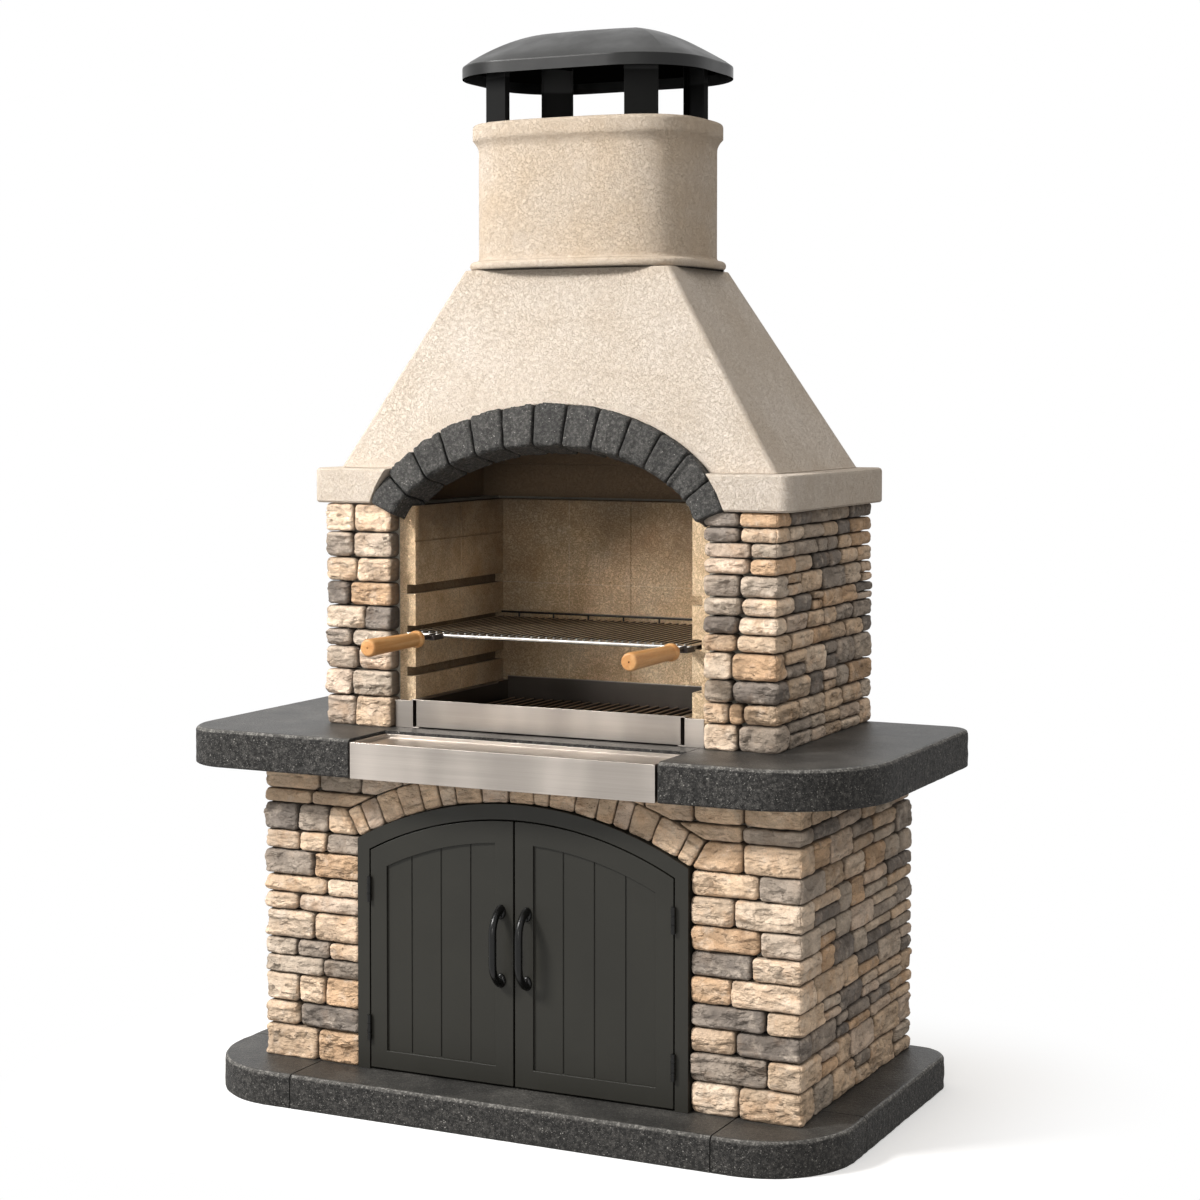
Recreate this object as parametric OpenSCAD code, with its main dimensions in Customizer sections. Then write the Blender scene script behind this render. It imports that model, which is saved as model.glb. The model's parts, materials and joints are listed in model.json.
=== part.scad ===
// Outdoor masonry barbecue: a stone-clad log store with two arched doors, a worktop of
// three slabs round a steel ledge, a firebox with a sliding grate and fire tray, and a
// plastered hood that carries an oval chimney and a sheet steel cap.
// Millimetres. X runs to the right, Y to the back and Z up. The origin is on the ground,
// halfway between the sides and halfway between the front and back of the stone base.

/* [Plinth] */
// Height of the plinth slabs
plinth_h = 72; // [50:1:100]
// How far the plinth stands out past the left side of the base
plinth_left = 115; // [70:1:160]
// How far the plinth stands out past the right side of the base
plinth_right = 87; // [60:1:160]
// How far the plinth stands out in front of the base
plinth_front = 120; // [80:1:180]
// How far the plinth stands out behind the base
plinth_back = 16; // [14:1:60]
// Radius of the plinth's front left corner
plinth_r_left = 200; // [60:5:240]
// Radius of the plinth's front right corner
plinth_r_right = 190; // [60:5:240]
// Radius of the plinth's two back corners
plinth_r_back = 70; // [20:5:90]
// Width of the middle front slab of the plinth
plinth_mid_w = 956; // [800:2:1000]
// Depth of the plinth's front slabs, from the front edge
plinth_front_d = 251; // [245:1:300]

/* [Base] */
// Width over the stone of the base
base_w = 1240; // [1200:2:1300]
// Depth over the stone of the base
base_d = 668; // [640:2:740]
// Height of the stone of the base
base_h = 628; // [600:1:700]
// Thickness of the stone cladding on the base
base_clad = 40; // [25:1:50]
// Thickness of the concrete walls of the base
base_wall = 60; // [40:1:80]
// Stones on one side of the base in a course, without the corner stone
base_side_stones = 5; // [3:1:7]

/* [Masonry] */
// Width of the joints between cladding stones
joint = 4; // [2:0.5:8]
// Split back of the arrises of a cladding stone
arris = 5; // [2:0.5:8]
// Greatest depth that one stone's face lies behind the next
face_play = 3; // [0:0.5:6]
// Share of the stones on the sides that lie as two thin ones, one on the other
side_splits = 0.35; // [0:0.05:0.6]
// Width of the open joints between concrete pieces
dry_joint = 1; // [0.5:0.25:2]

/* [Door] */
// Width over the door frame
door_w = 762; // [700:2:800]
// Height of the top of the door frame's arch above the plinth
door_h = 586; // [540:1:600]
// Radius of the outside of the door frame's arch
door_r = 785; // [600:5:1000]
// Width of the frame's side members
frame_side = 29; // [20:1:40]
// Width of the frame's arched member
frame_top = 32; // [20:1:40]
// How far the frame and doors stand in front of the stone
frame_proud = 4; // [0:1:12]
// Gap between a door leaf and the frame
leaf_gap = 3; // [2.5:0.25:5]
// Gap between the leaves and the plinth
leaf_floor_gap = 4.5; // [2:0.5:10]
// Gap between the two leaves
meet_gap = 4; // [3:0.5:8]
// Place of the line where the leaves meet, to the left of the middle
meet_left = 8; // [-20:1:20]
// Thickness of a door leaf
leaf_t = 26; // [20:1:34]
// Width of a leaf's stile on the hinge side
stile_outer = 39; // [30:1:60]
// Width of a leaf's stile on the handle side
stile_inner = 42; // [34:1:60]
// Height of a leaf's bottom rail
rail_bottom = 38.5; // [25:0.5:60]
// Height of a leaf's arched top rail
rail_top = 46; // [30:1:70]
// Depth of the panel behind the face of its leaf
panel_recess = 5; // [2:0.5:8]
// Thickness of the panel of boards
panel_t = 12; // [8:1:14]
// Width of the rebate that holds a panel
rebate = 8; // [5:0.5:12]
// Distance between the grooves in a panel
board_pitch = 70; // [50:1:78]
// Width of a groove between boards
groove_w = 3; // [1.5:0.5:5]
// Depth of a groove between boards
groove_d = 2.5; // [1:0.5:4]
// How far the stop behind the leaves laps them
stop_lap = 7; // [4:0.5:12]
// Thickness of the stop behind the leaves
stop_t = 6; // [3:0.5:10]

/* [Door handles and hinges] */
// Length of a door handle between its posts
pull_len = 150; // [100:2:220]
// Diameter of a door handle's bar
pull_d = 13; // [10:0.5:18]
// How far a door handle stands out from its leaf
pull_out = 45; // [38:1:60]
// Radius of the bends of a door handle, at the middle of the bar
pull_bend = 16; // [12:1:22]
// Diameter of a handle's foot
pull_foot_d = 22; // [20:1:30]
// Thickness of a handle's foot
pull_foot_t = 5; // [2:0.5:8]
// Distance of a handle from the line where the leaves meet
pull_from_meet = 30; // [22:1:36]
// Height of the middle of a handle above the plinth
pull_z = 292; // [200:1:340]
// Length of a hinge
hinge_len = 54; // [40:1:80]
// Outside diameter of a hinge's barrel
hinge_d = 9; // [8:0.5:13]
// Diameter of a hinge pin
hinge_pin_d = 4; // [3:0.25:5]
// Clearance round a hinge pin, on the radius
hinge_play = 0.1; // [0.05:0.05:0.3]
// Gap between the knuckles of a hinge
knuckle_gap = 0.6; // [0.4:0.1:1.5]
// Thickness of the hinge leaves that lie in the gap beside a door
hinge_leaf_t = 1.1; // [0.8:0.1:1.1]
// Height of the middle of the lower hinges above the plinth
hinge_low = 89; // [60:1:140]
// Height of the middle of the upper hinges above the plinth
hinge_high = 383; // [260:1:400]

/* [Door arch] */
// Length of the arch stones over the doors
door_stone_len = 61; // [45:1:75]
// Half of the angle that the arch stones over the doors span, beyond the frame's own
door_arch_extra = 0; // [0:0.5:4]
// Number of arch stones over the doors
door_stones = 17; // [11:1:23]

/* [Worktop] */
// Thickness of the worktop slabs
top_h = 81; // [60:1:100]
// How far the left wing stands out past the base
top_left = 165; // [100:5:220]
// How far the right wing stands out past the base
top_right = 137; // [100:1:220]
// How far the wings stand out in front of the base
top_front = 89; // [60:1:140]
// How far the back of the worktop lies in front of the back of the base
top_back_in = 7; // [0:1:30]
// Radius of the left wing's front corner
top_r_left = 110; // [40:5:240]
// Radius of the right wing's front corner
top_r_right = 230; // [40:5:240]
// Radius of the worktop's back corners
top_r_back = 45; // [20:5:90]
// Size of the rounded arris of the slabs
slab_arris = 10; // [4:1:14]
// Distance between the two wings
bay_w = 704; // [680:2:720]
// Distance from the front of the base to the front of the middle slab
mid_set = 60; // [50:1:90]

/* [Steel ledge] */
// Height of the steel ledge between the wings
ledge_h = 75.5; // [50:0.5:78]
// Thickness of the steel sheet of the ledge
ledge_t = 2; // [1:0.5:3]
// Gap between the ledge and each wing
ledge_gap = 5; // [1:0.5:8]
// Depth of the shallow pan in the top of the ledge
ledge_pan = 7; // [3:0.5:20]
// Width of the rim round the pan
ledge_rim = 9; // [5:0.5:20]

/* [Firebox] */
// Width between the firebrick side liners
fire_w = 648; // [620:2:660]
// Depth of the firebrick side liners
fire_d = 399; // [370:1:420]
// Thickness of the firebrick side liners
liner_t = 38.5; // [32:0.5:45]
// Thickness of the firebrick back liner
liner_back_t = 50; // [30:1:60]
// Height of the upper stone pillars
pillar_h = 480; // [450:1:560]
// How far the top of the liners lies below the cornice
liner_drop = 5.5; // [2:0.5:20]
// Width of an upper pillar over its stone
pillar_w = 165.5; // [130:0.5:200]
// Thickness of the stone cladding on the pillars
pillar_clad = 42; // [30:1:50]
// Distance from the front of the base to the front of the pillars
pillar_set = 101.5; // [95:0.5:130]
// Stones on one side of a pillar in a course, without the corner stone
pillar_side_stones = 5; // [3:1:7]
// Height of the grate slots in the liners
slot_h = 20; // [14:0.5:26]
// Depth of the grate slots in the liners
slot_d = 21; // [16:0.5:24]
// Height of the lowest grate slot above the worktop
slot_low = 108; // [90:1:130]
// Distance from one grate slot to the next
slot_pitch = 88.5; // [60:0.5:100]
// Number of grate slots on each side
slots = 3; // [2:1:4]
// Width and depth of the pressed joints in the liners
liner_groove = 3; // [1:0.5:6]
// Height of the pressed joint above the worktop in the liners
liner_seam_z = 397; // [380:1:440]

/* [Cornice and hood] */
// Height of the cornice
cornice_h = 75; // [55:1:110]
// How far the cornice stands out past the sides of the pillars
cornice_side = 27; // [15:1:45]
// How far the cornice stands out in front of the pillars
cornice_front = 5; // [2:1:12]
// Width of the cornice's side bars
cornice_bar = 166; // [120:1:180]
// Radius of the cornice's corners
cornice_r = 27; // [12:1:60]
// Half of the width of the hood at its foot
hood_half_w = 510.5; // [490:0.5:530]
// Distance from the front of the cornice to the front of the hood
hood_set_front = 42; // [30:1:60]
// Distance from the back of the cornice to the back of the hood
hood_set_back = 48; // [20:1:60]
// Height of the hood
hood_h = 424; // [400:2:520]
// Wall of the hood, level across
hood_wall = 45; // [30:1:55]
// Half of the width of the hood at its top
hood_top_half_w = 252; // [248:1:262]
// Half of the depth of the hood at its top
hood_top_half_d = 160; // [157:1:176]
// Radius of the hood's corners at its foot
hood_r = 30; // [12:1:60]
// Radius of the hood's corners at its top
hood_top_r = 60; // [50:1:100]
// How far the middle of the chimney lies behind the middle of the base
chimney_y = 37; // [30:1:44]

/* [Firebox arch] */
// Half of the width of the arch over its stones
arch_out_a = 421; // [412:1:426]
// Rise of the outside of the arch above its own centre, along its leaning face
arch_out_b = 282; // [270:1:292]
// Half of the width of the opening under the arch
arch_in_a = 369; // [362:1:376]
// Rise of the opening above its own centre, along its leaning face
arch_in_b = 221; // [205:1:228]
// How far the centre of the outside lies below the cornice
arch_out_drop = 59.5; // [50:0.5:70]
// How far the centre of the opening lies below the cornice
arch_in_drop = 90.5; // [80:0.5:100]
// Angle by which the face of the arch leans back
arch_lean = 12.8; // [8:0.1:16]
// Depth of the arch stones
arch_d = 90; // [88:1:110]
// Number of arch stones
arch_stones_n = 13; // [9:1:17]
// Width of the joints between arch stones
arch_joint = 3.5; // [2:0.5:6]
// Clearance round the arch stones
arch_clear = 0.4; // [0.3:0.1:2]

/* [Chimney and cap] */
// Half of the straight part of the chimney's plan, side to side
oval_x = 125; // [105:1:140]
// Half of the straight part of the chimney's plan, front to back
oval_y = 55; // [40:1:65]
// Corner radius of the chimney's tube
tube_r = 121; // [117:0.5:124]
// Wall of the chimney's tube
tube_wall = 32; // [26:1:38]
// Height of the chimney above the hood
chimney_h = 315; // [240:5:420]
// Height of the ring at the chimney's foot
ring_h = 20; // [10:1:35]
// How far the ring stands out from the tube
ring_out = 18; // [6:1:26]
// Height of the rim at the chimney's top
rim_h = 35; // [20:1:50]
// How far the rim stands out from the tube
rim_out = 12; // [4:1:24]
// Height of the flare below the rim
flare_h = 25; // [12:1:40]
// Width of the seat for the cap's posts inside the rim
seat_w = 20; // [14:1:22]
// Width of a cap post
post_w = 71; // [50:1:80]
// Depth of the flanges of a cap post
post_lip = 12; // [8:0.5:20]
// Thickness of a cap post's sheet
post_t = 3; // [2:0.25:4]
// Direction of the posts from the corner centres, measured from the X axis
post_angle = 63; // [55:1:70]
// Height of the underside of the cap's edge above the chimney
cap_gap = 96; // [60:1:140]
// Height of the cap's edge
cap_edge_h = 27; // [15:1:45]
// How far the cap reaches past the straight parts of the chimney's plan
cap_r = 155.5; // [145:0.5:175]
// Height of the cap's dome above its edge
cap_dome = 79; // [50:1:120]
// Half of the length of the ridge on the dome
cap_ridge = 75; // [50:1:90]
// Thickness of the cap's sheet
cap_t = 3; // [2:0.25:5]

/* [Fire tray] */
// Width of the fire tray's body
tray_w = 618; // [600:2:620]
// Height of the fire tray's body
tray_h = 56.5; // [45:0.5:62]
// Thickness of the fire tray's sheet
tray_t = 2; // [1.5:0.25:3]
// Width of the flange along the tray's top
tray_flange = 11; // [8:0.5:12]
// Height of the tray's back wall above its sides
tray_back_up = 11; // [0:1:25]
// How far the tray's front lies in front of the pillars' concrete
tray_front = 24; // [16:1:30]
// Gap behind the fire tray
tray_back_gap = 5.5; // [3:0.5:20]
// Thickness of the steel guides under the tray
guide_t = 2.5; // [2:0.25:3]
// Width of the guides' flanges under the tray
guide_flange = 21; // [14:1:30]
// Width of the guides' front plates
guide_plate_w = 43; // [30:1:44]
// How far a front plate reaches inwards past its guide
guide_plate_in = 6; // [2:0.5:9]
// Running gap between the tray and its guides
run_gap = 0.4; // [0.3:0.1:1]
// Diameter of the bars of the charcoal grate
coal_bar_d = 8; // [6:0.5:10]
// Distance between the bars of the charcoal grate
coal_pitch = 24; // [18:1:32]
// Height of the feet under the bars of the charcoal grate
coal_foot_h = 10; // [6:0.5:18]

/* [Cooking grate] */
// Slot that the cooking grate lies in, counted from the bottom
grate_slot = 2; // [1:1:2]
// Diameter of the grate's frame rods
rod_d = 8; // [6:0.5:10]
// Diameter of the grate's wires
wire_d = 4; // [3:0.25:5]
// Distance between the wires
wire_pitch = 17.5; // [14:0.5:24]
// Gap between the ends of the grate and the bottoms of the slots
grate_side_gap = 10; // [5:0.5:14]
// Height of the raised back rail above the frame
back_rail_up = 18; // [12:1:30]
// Number of wires from one stub under the back rail to the next
stub_every = 5; // [3:1:8]
// How far the front rod lies in front of the liners
grate_front = 14.5; // [10:0.5:30]
// Distance between the front and back rods
grate_d = 392; // [340:2:400]
// Distance of the left handle from the middle
grip_left_x = 258; // [200:1:280]
// Distance of the right handle from the middle
grip_right_x = 326; // [260:1:326]
// Length of a wooden grip
grip_len = 205; // [120:5:240]
// Largest radius of a wooden grip
grip_r = 18.5; // [14:0.5:22]
// Length of the steel shaft between the front rod and a grip
shaft_len = 88; // [60:1:130]
// Diameter of the steel shaft
shaft_d = 8; // [6:0.5:10]
// Width over the two lugs that hold the front rod
fork_w = 22; // [18:1:30]
// Length of the fork
fork_len = 40; // [30:1:50]
// Thickness of one lug
lug_t = 4; // [3:0.5:6]
// Clearance round the rod in the lugs, on the radius
lug_play = 0.2; // [0.1:0.05:0.4]

/* [Hidden] */
$fn = 48;

// Stone courses from the ground up, as [height, places of the upright joints]. The places
// run from the door frame or the firebox (0) to the corner (1)
base_left_rows = [[69, [0.44]], [51, [0.63]], [61, [0.36, 0.64]], [38, [0.38]],
                  [37, [0.32, 0.66]], [60, [0.48]], [38, [0.65]], [38, [0.34]], [54, [0.48]],
                  [42, [0.34, 0.62]], [58, [0.33, 0.64]], [30, [0.5]], [52, [0.42]]];
base_right_rows = [[66, [0.43]], [58, [0.68]], [50, [0.4]], [46, [0.67]], [55, [0.36]],
                   [50, [0.55]], [50, [0.62]], [58, [0.39]], [50, [0.61]], [60, [0.47]],
                   [33, [0.46]], [52, [0.47]]];
pillar_left_rows = [[66, [0.54]], [56, [0.6]], [50, [0.52]], [37, [0.61]], [51, [0.4]],
                    [51, [0.64]], [52, [0.52]], [55, [0.58]], [62, [0.56]]];
pillar_right_rows = [[55, [0.46]], [42, [0.34, 0.53]], [46, [0.38]], [56, [0.37]], [36, [0.44]],
                     [36, [0.46]], [38, [0.5]], [45, [0.48]], [34, [0.61]], [30, [0.63]],
                     [31, [0.48]], [31, [0.48]]];

// Levels, from the ground up
z_plinth = plinth_h;
z_base = z_plinth + base_h;
z_top = z_base + top_h;
z_pillar = z_top + pillar_h;
z_cornice = z_pillar + cornice_h;
z_hood = z_cornice + hood_h;
z_chimney = z_hood + chimney_h;
z_cap = z_chimney + cap_gap;

// Base in plan
base_x = base_w / 2;
base_y = base_d / 2;
core_x = base_x - base_clad;
core_front = -base_y + base_clad;
room_x = core_x - base_wall;
plinth_x0 = -base_x - plinth_left;
plinth_x1 = base_x + plinth_right;
plinth_y0 = -base_y - plinth_front;
plinth_y1 = base_y + plinth_back;
plinth_seam_x = plinth_mid_w / 2;
plinth_seam_y = plinth_y0 + plinth_front_d;

// Door: every arch of it has the same centre
door_x = door_w / 2;
door_cz = z_plinth + door_h - door_r;
door_y = -base_y - frame_proud;
inner_x = door_x - frame_side;
inner_r = door_r - frame_top;
leaf_x = inner_x - leaf_gap;
leaf_r = inner_r - leaf_gap;
leaf_z = z_plinth + leaf_floor_gap;
meet_x = -meet_left;
panel_z = leaf_z + rail_bottom;
panel_r = leaf_r - rail_top;
hinge_x = inner_x - leaf_gap / 2;
hinge_y = door_y - hinge_d / 2 - 0.3;
knuckle_len = (hinge_len - 2 * knuckle_gap) / 3;
stop_gap = 0.4;
door_half_angle = asin(door_x / door_r) + door_arch_extra;
door_stone_r0 = door_r + 1.5;
door_stone_r1 = door_stone_r0 + door_stone_len;
stone_ring_r = door_stone_r1 + joint / 2;

// Worktop in plan
top_x0 = -base_x - top_left;
top_x1 = base_x + top_right;
top_y0 = -base_y - top_front;
top_y1 = base_y - top_back_in;
bay_x = bay_w / 2;
mid_y = -base_y + mid_set;

// Firebox in plan
fire_x = fire_w / 2;
pillar_x0 = fire_x + liner_t;
pillar_x1 = pillar_x0 + pillar_w;
pillar_y = -base_y + pillar_set;
wall_x1 = pillar_x1 - pillar_clad;
wall_y0 = pillar_y + pillar_clad;
liner_y1 = wall_y0 + fire_d;
liner_back_y1 = liner_y1 + liner_back_t;
liner_z1 = z_pillar - liner_drop;

// Cornice and hood in plan
cornice_x = pillar_x1 + cornice_side;
cornice_y0 = pillar_y - cornice_front;
hood_y0 = cornice_y0 + hood_set_front;
hood_y1 = top_y1 - hood_set_back;
hood_my = (hood_y0 + hood_y1) / 2;
hood_half_d = (hood_y1 - hood_y0) / 2;

// Chimney and cap
ring_r = tube_r + ring_out;
rim_r = tube_r + rim_out;
bore_r = tube_r - tube_wall;
seat_r = bore_r + seat_w;
seat_z = z_chimney - rim_h - flare_h;
cap_x = oval_x + cap_r;
cap_y = oval_y + cap_r;
cap_hip_x = oval_x + cap_r * cos(45);
cap_hip_y = oval_y + cap_r * sin(45);

// Fire tray and cooking grate
tray_x = tray_w / 2;
tray_y0 = wall_y0 - tray_front;
tray_y1 = liner_y1 - tray_back_gap;
tray_z0 = z_top + guide_t + run_gap;
tray_z1 = tray_z0 + tray_h;
guide_x1 = fire_x - run_gap;
guide_h = tray_z1 - z_top - 2 * run_gap;
slot_x = fire_x + slot_d;
grate_x = slot_x - grate_side_gap;
grate_z = z_top + slot_low + (grate_slot - 1) * slot_pitch + rod_d / 2 + 0.3;
grate_y0 = wall_y0 - grate_front;
grate_y1 = grate_y0 + grate_d;
grip_y1 = grate_y0 - shaft_len;

// Sum of the first n entries of a list
function partial(w, n) = n <= 0 ? 0 : w[n - 1] + partial(w, n - 1);

// Borders of n lengths between lo and hi that vary by the share spread
function borders(lo, hi, n, seed, spread) =
    let (w = rands(1 - spread, 1 + spread, n, seed), all = partial(w, n))
    [for (i = [0:n]) lo + (hi - lo) * partial(w, i) / all];

// One number between lo and hi
function pick(lo, hi, seed) = rands(lo, hi, 1, seed)[0];

// Plan of a box with four corner radii, from the front right corner and on to the left
function box_ring(x0, x1, y0, y1, r, inset, steps) =
    let (cx = [x1 - r[0], x1 - r[1], x0 + r[2], x0 + r[3]],
         cy = [y0 + r[0], y1 - r[1], y1 - r[2], y0 + r[3]])
    [for (k = [0:3], i = [0:steps])
        let (a = -90 + 90 * k + 90 * i / steps, q = r[k] - inset)
        [cx[k] + q * cos(a), cy[k] + q * sin(a)]];

// Plan of a rounded box by its middle, half sizes and corner radius
function mid_ring(mx, my, hx, hy, r, steps) =
    box_ring(mx - hx, mx + hx, my - hy, my + hy, [r, r, r, r], 0, steps);

// Plan of the chimney with the corner radius r
function oval_ring(r, steps) = mid_ring(0, chimney_y, oval_x + r, oval_y + r, r, steps);

// Solid through plan rings of equal length, one at each level
module loft(rings, levels) {
    n = len(rings[0]);
    last = len(rings) - 1;
    points = [for (k = [0:last], p = rings[k]) [p[0], p[1], levels[k]]];
    sides = [for (k = [0:last - 1], i = [0:n - 1], half = [0:1])
        let (a = k * n + i, b = k * n + (i + 1) % n)
        half == 0 ? [a, a + n, b + n] : [a, b + n, b]];
    polyhedron(points, concat(sides, [[for (i = [0:n - 1]) i],
                                      [for (i = [n - 1:-1:0]) last * n + i]]), convexity = 6);
}

// Slab with rounded plan corners and softened upper and lower arrises
module slab(x0, x1, y0, y1, r, z0, z1, low, high) {
    insets = [low, 0, 0, 0.3 * high, high];
    loft([for (c = insets) box_ring(x0, x1, y0, y1, r, c, 10)],
         [z0, z0 + low, z1 - high, z1 - 0.3 * high, z1]);
}

// Plate whose outline is drawn in X and Z, from y0 to y1
module upright(y0, y1) {
    translate([0, y1, 0]) rotate([90, 0, 0]) linear_extrude(y1 - y0) children();
}

// Bar whose section is drawn in Y and Z, from x0 to x1
module crosswise(x0, x1) {
    translate([x0, 0, 0]) rotate([90, 0, 90]) linear_extrude(x1 - x0) children();
}

module block(x0, x1, y0, y1, z0, z1) {
    translate([x0, y0, z0]) cube([x1 - x0, y1 - y0, z1 - z0]);
}

// The same shape on the left (-1) or the right (1)
module side(s) {
    mirror([s < 0 ? 1 : 0, 0, 0]) children();
}

// Plinth
module plinth_mass() {
    slab(plinth_x0, plinth_x1, plinth_y0, plinth_y1,
         [plinth_r_right, plinth_r_back, plinth_r_back, plinth_r_left], 0, z_plinth, 2, slab_arris);
}

module plinth_piece(x0, x1, y0, y1) {
    color("#3d3f42") intersection() {
        plinth_mass();
        block(x0, x1, y0, y1, -1, z_plinth + 1);
    }
}

module plinth_front_centre() {
    g = dry_joint / 2;
    plinth_piece(-plinth_seam_x + g, plinth_seam_x - g, plinth_y0 - 1, plinth_seam_y - g);
}

module plinth_corner(s) {
    g = dry_joint / 2;
    x0 = s < 0 ? plinth_x0 - 1 : plinth_seam_x + g;
    x1 = s < 0 ? -plinth_seam_x - g : plinth_x1 + 1;
    plinth_piece(x0, x1, plinth_y0 - 1, plinth_seam_y - g);
}

module plinth_side(s) {
    g = dry_joint / 2;
    x0 = s < 0 ? plinth_x0 - 1 : plinth_seam_x + g;
    x1 = s < 0 ? -plinth_seam_x - g : plinth_x1 + 1;
    plinth_piece(x0, x1, plinth_seam_y + g, plinth_y1 + 1);
}

module floor_slab() {
    g = dry_joint / 2;
    color("#3d3f42")
        block(-plinth_seam_x + g, plinth_seam_x - g, plinth_seam_y + g, plinth_y1, 0, z_plinth);
}

// Outline under an arch of the door: half width, radius and foot
module door_outline(half_w, r, z0) {
    intersection() {
        translate([-half_w, z0]) square([2 * half_w, door_cz + r - z0 + 1]);
        translate([0, door_cz]) circle(r, $fn = 96);
    }
}

// Base walls
module base_front_panel() {
    color("#77736c") upright(core_front, core_front + base_wall) difference() {
        translate([-room_x, z_plinth]) square([2 * room_x, base_h]);
        door_outline(inner_x, inner_r, z_plinth - 1);
    }
}

module base_side_wall(s) {
    color("#77736c") side(s) block(room_x, core_x, core_front, base_y, z_plinth, z_base);
}

module base_back_wall() {
    color("#8b867d") block(-room_x, room_x, base_y - base_wall, base_y, z_plinth, z_base);
}

// Plan of a front stone from x0 to x1 with its face at y and its back at seat
function front_plan(x0, x1, y, seat) =
    [[x0, seat], [x0, y + arris], [x0 + arris, y], [x1 - arris, y], [x1, y + arris], [x1, seat]];

// Plan of a side stone from y0 to y1 with its face at x and its back at seat
function side_plan(y0, y1, x, seat) =
    [[seat, y0], [x - arris, y0], [x, y0 + arris], [x, y1 - arris], [x - arris, y1], [seat, y1]];

// Plan of a corner stone that reaches a to the front and b to the side
function quoin_plan(x, y, a, b, seat_x, seat_y) =
    [[x - a, seat_y], [x - a, y + arris], [x - a + arris, y], [x - arris, y], [x, y + arris],
     [x, y + b - arris], [x - arris, y + b], [seat_x, y + b], [seat_x, seat_y]];

// Keeps the upper and lower arrises of a course off its front face
module front_arris(x0, x1, y, z0, z1) {
    back = y + base_w;
    crosswise(x0, x1) polygon([[back, z0], [y + arris, z0], [y, z0 + arris],
                               [y, z1 - arris], [y + arris, z1], [back, z1]]);
}

// Keeps the upper and lower arrises of a course off its side face
module side_arris(y0, y1, x, z0, z1) {
    inside = x - base_w;
    upright(y0, y1) polygon([[inside, z0], [x - arris, z0], [x, z0 + arris],
                             [x, z1 - arris], [x - arris, z1], [inside, z1]]);
}

// Levels of the joints under the courses of rows, between lo and hi
function levels(rows, lo, hi) =
    let (h = [for (row = rows) row[0]], all = partial(h, len(h)))
    [for (i = [0:len(h)]) lo + (hi - lo) * partial(h, i) / all];

// Place of the last upright joint of a row before the corner at x, on a pier w wide
function quoin_x(row, x, w) = x - w * (1 - row[1][len(row[1]) - 1]);

// Side stone, or two thin ones with a joint between them
module side_stone(y0, y1, x, seat, z0, z1, seed) {
    face_x = x - pick(0, face_play, seed);
    least = 0.42;
    high_enough = least * (z1 - z0) - joint / 2 > 2.4 * arris;
    split = high_enough && pick(0, 1, seed + 1) < side_splits;
    cut = z0 + (z1 - z0) * pick(least, 1 - least, seed + 2);
    parts = split ? [[z0, cut - joint / 2], [cut + joint / 2, z1]] : [[z0, z1]];
    for (p = parts) intersection() {
        translate([0, 0, p[0]]) linear_extrude(p[1] - p[0]) polygon(side_plan(y0, y1, face_x, seat));
        side_arris(y0 - 1, y1 + 1, face_x, p[0], p[1]);
    }
}

// Corner and side stones of one course on the right
module side_course(row, x, y, y_end, w, seat_x, seat_y, z0, z1, n, seed) {
    a = x - quoin_x(row, x, w) - joint / 2;
    b = a > w / 2 ? pick(60, 90, seed + 1) : pick(95, 140, seed + 1);
    ends = borders(y + b, y_end + joint / 2, n, seed + 2, 0.45);
    intersection() {
        translate([0, 0, z0])
            linear_extrude(z1 - z0) polygon(quoin_plan(x, y, a, b - joint / 2, seat_x, seat_y));
        front_arris(x - a - 1, x + 1, y, z0, z1);
        side_arris(y - 1, y + b + 1, x, z0, z1);
    }
    for (k = [0:n - 1])
        side_stone(ends[k] + joint / 2, ends[k + 1] - joint / 2, x, seat_x, z0, z1, seed + 10 + 3 * k);
}

// Front stones of one course on the right, from x_in out to the corner stone
module front_course(row, x_in, x, y, w, seat_y, z0, z1, seed) {
    places = [for (p = row[1]) x - w * (1 - p)];
    more = max(1, round((places[0] - x_in) / 110));
    ends = concat([for (k = [0:more - 1]) x_in - joint / 2 + (places[0] - x_in) * k / more], places);
    intersection() {
        for (k = [0:len(ends) - 2])
            translate([0, 0, z0]) linear_extrude(z1 - z0)
                polygon(front_plan(ends[k] + joint / 2, ends[k + 1] - joint / 2,
                                   y + pick(0, face_play, seed + 20 + k), seat_y));
        front_arris(x_in - 1, x, y, z0, z1);
    }
}

// Base cladding
base_front_w = base_x - door_x - joint / 2;

function base_rows(s) = s < 0 ? base_left_rows : base_right_rows;

module base_stones_side(s) {
    rows = base_rows(s);
    z = levels(rows, z_plinth, z_base + joint);
    color("#c4ad8c") side(s) for (i = [0:len(rows) - 1])
        side_course(rows[i], base_x, -base_y, base_y, base_front_w, core_x, core_front,
                    z[i], z[i + 1] - joint, base_side_stones, 100 + 40 * i + 600 * s);
}

// Space of the arch stones over the doors, with their joint
module door_arch_space(r) {
    reach = 2 * r;
    a = door_half_angle + 0.15;
    translate([0, door_cz]) intersection() {
        circle(r, $fn = 360);
        polygon([[0, 0], [-reach * sin(a), reach * cos(a)], [reach * sin(a), reach * cos(a)]]);
    }
}

// Inner end of a front course: the door frame, or the arch stones where they cut in
function pier_in(z1) =
    let (h = z1 - door_cz, q = stone_ring_r * stone_ring_r - h * h)
    h < stone_ring_r * cos(door_half_angle) ? door_x + joint / 2
                                            : min(door_x + joint / 2, sqrt(max(0, q)));

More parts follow.
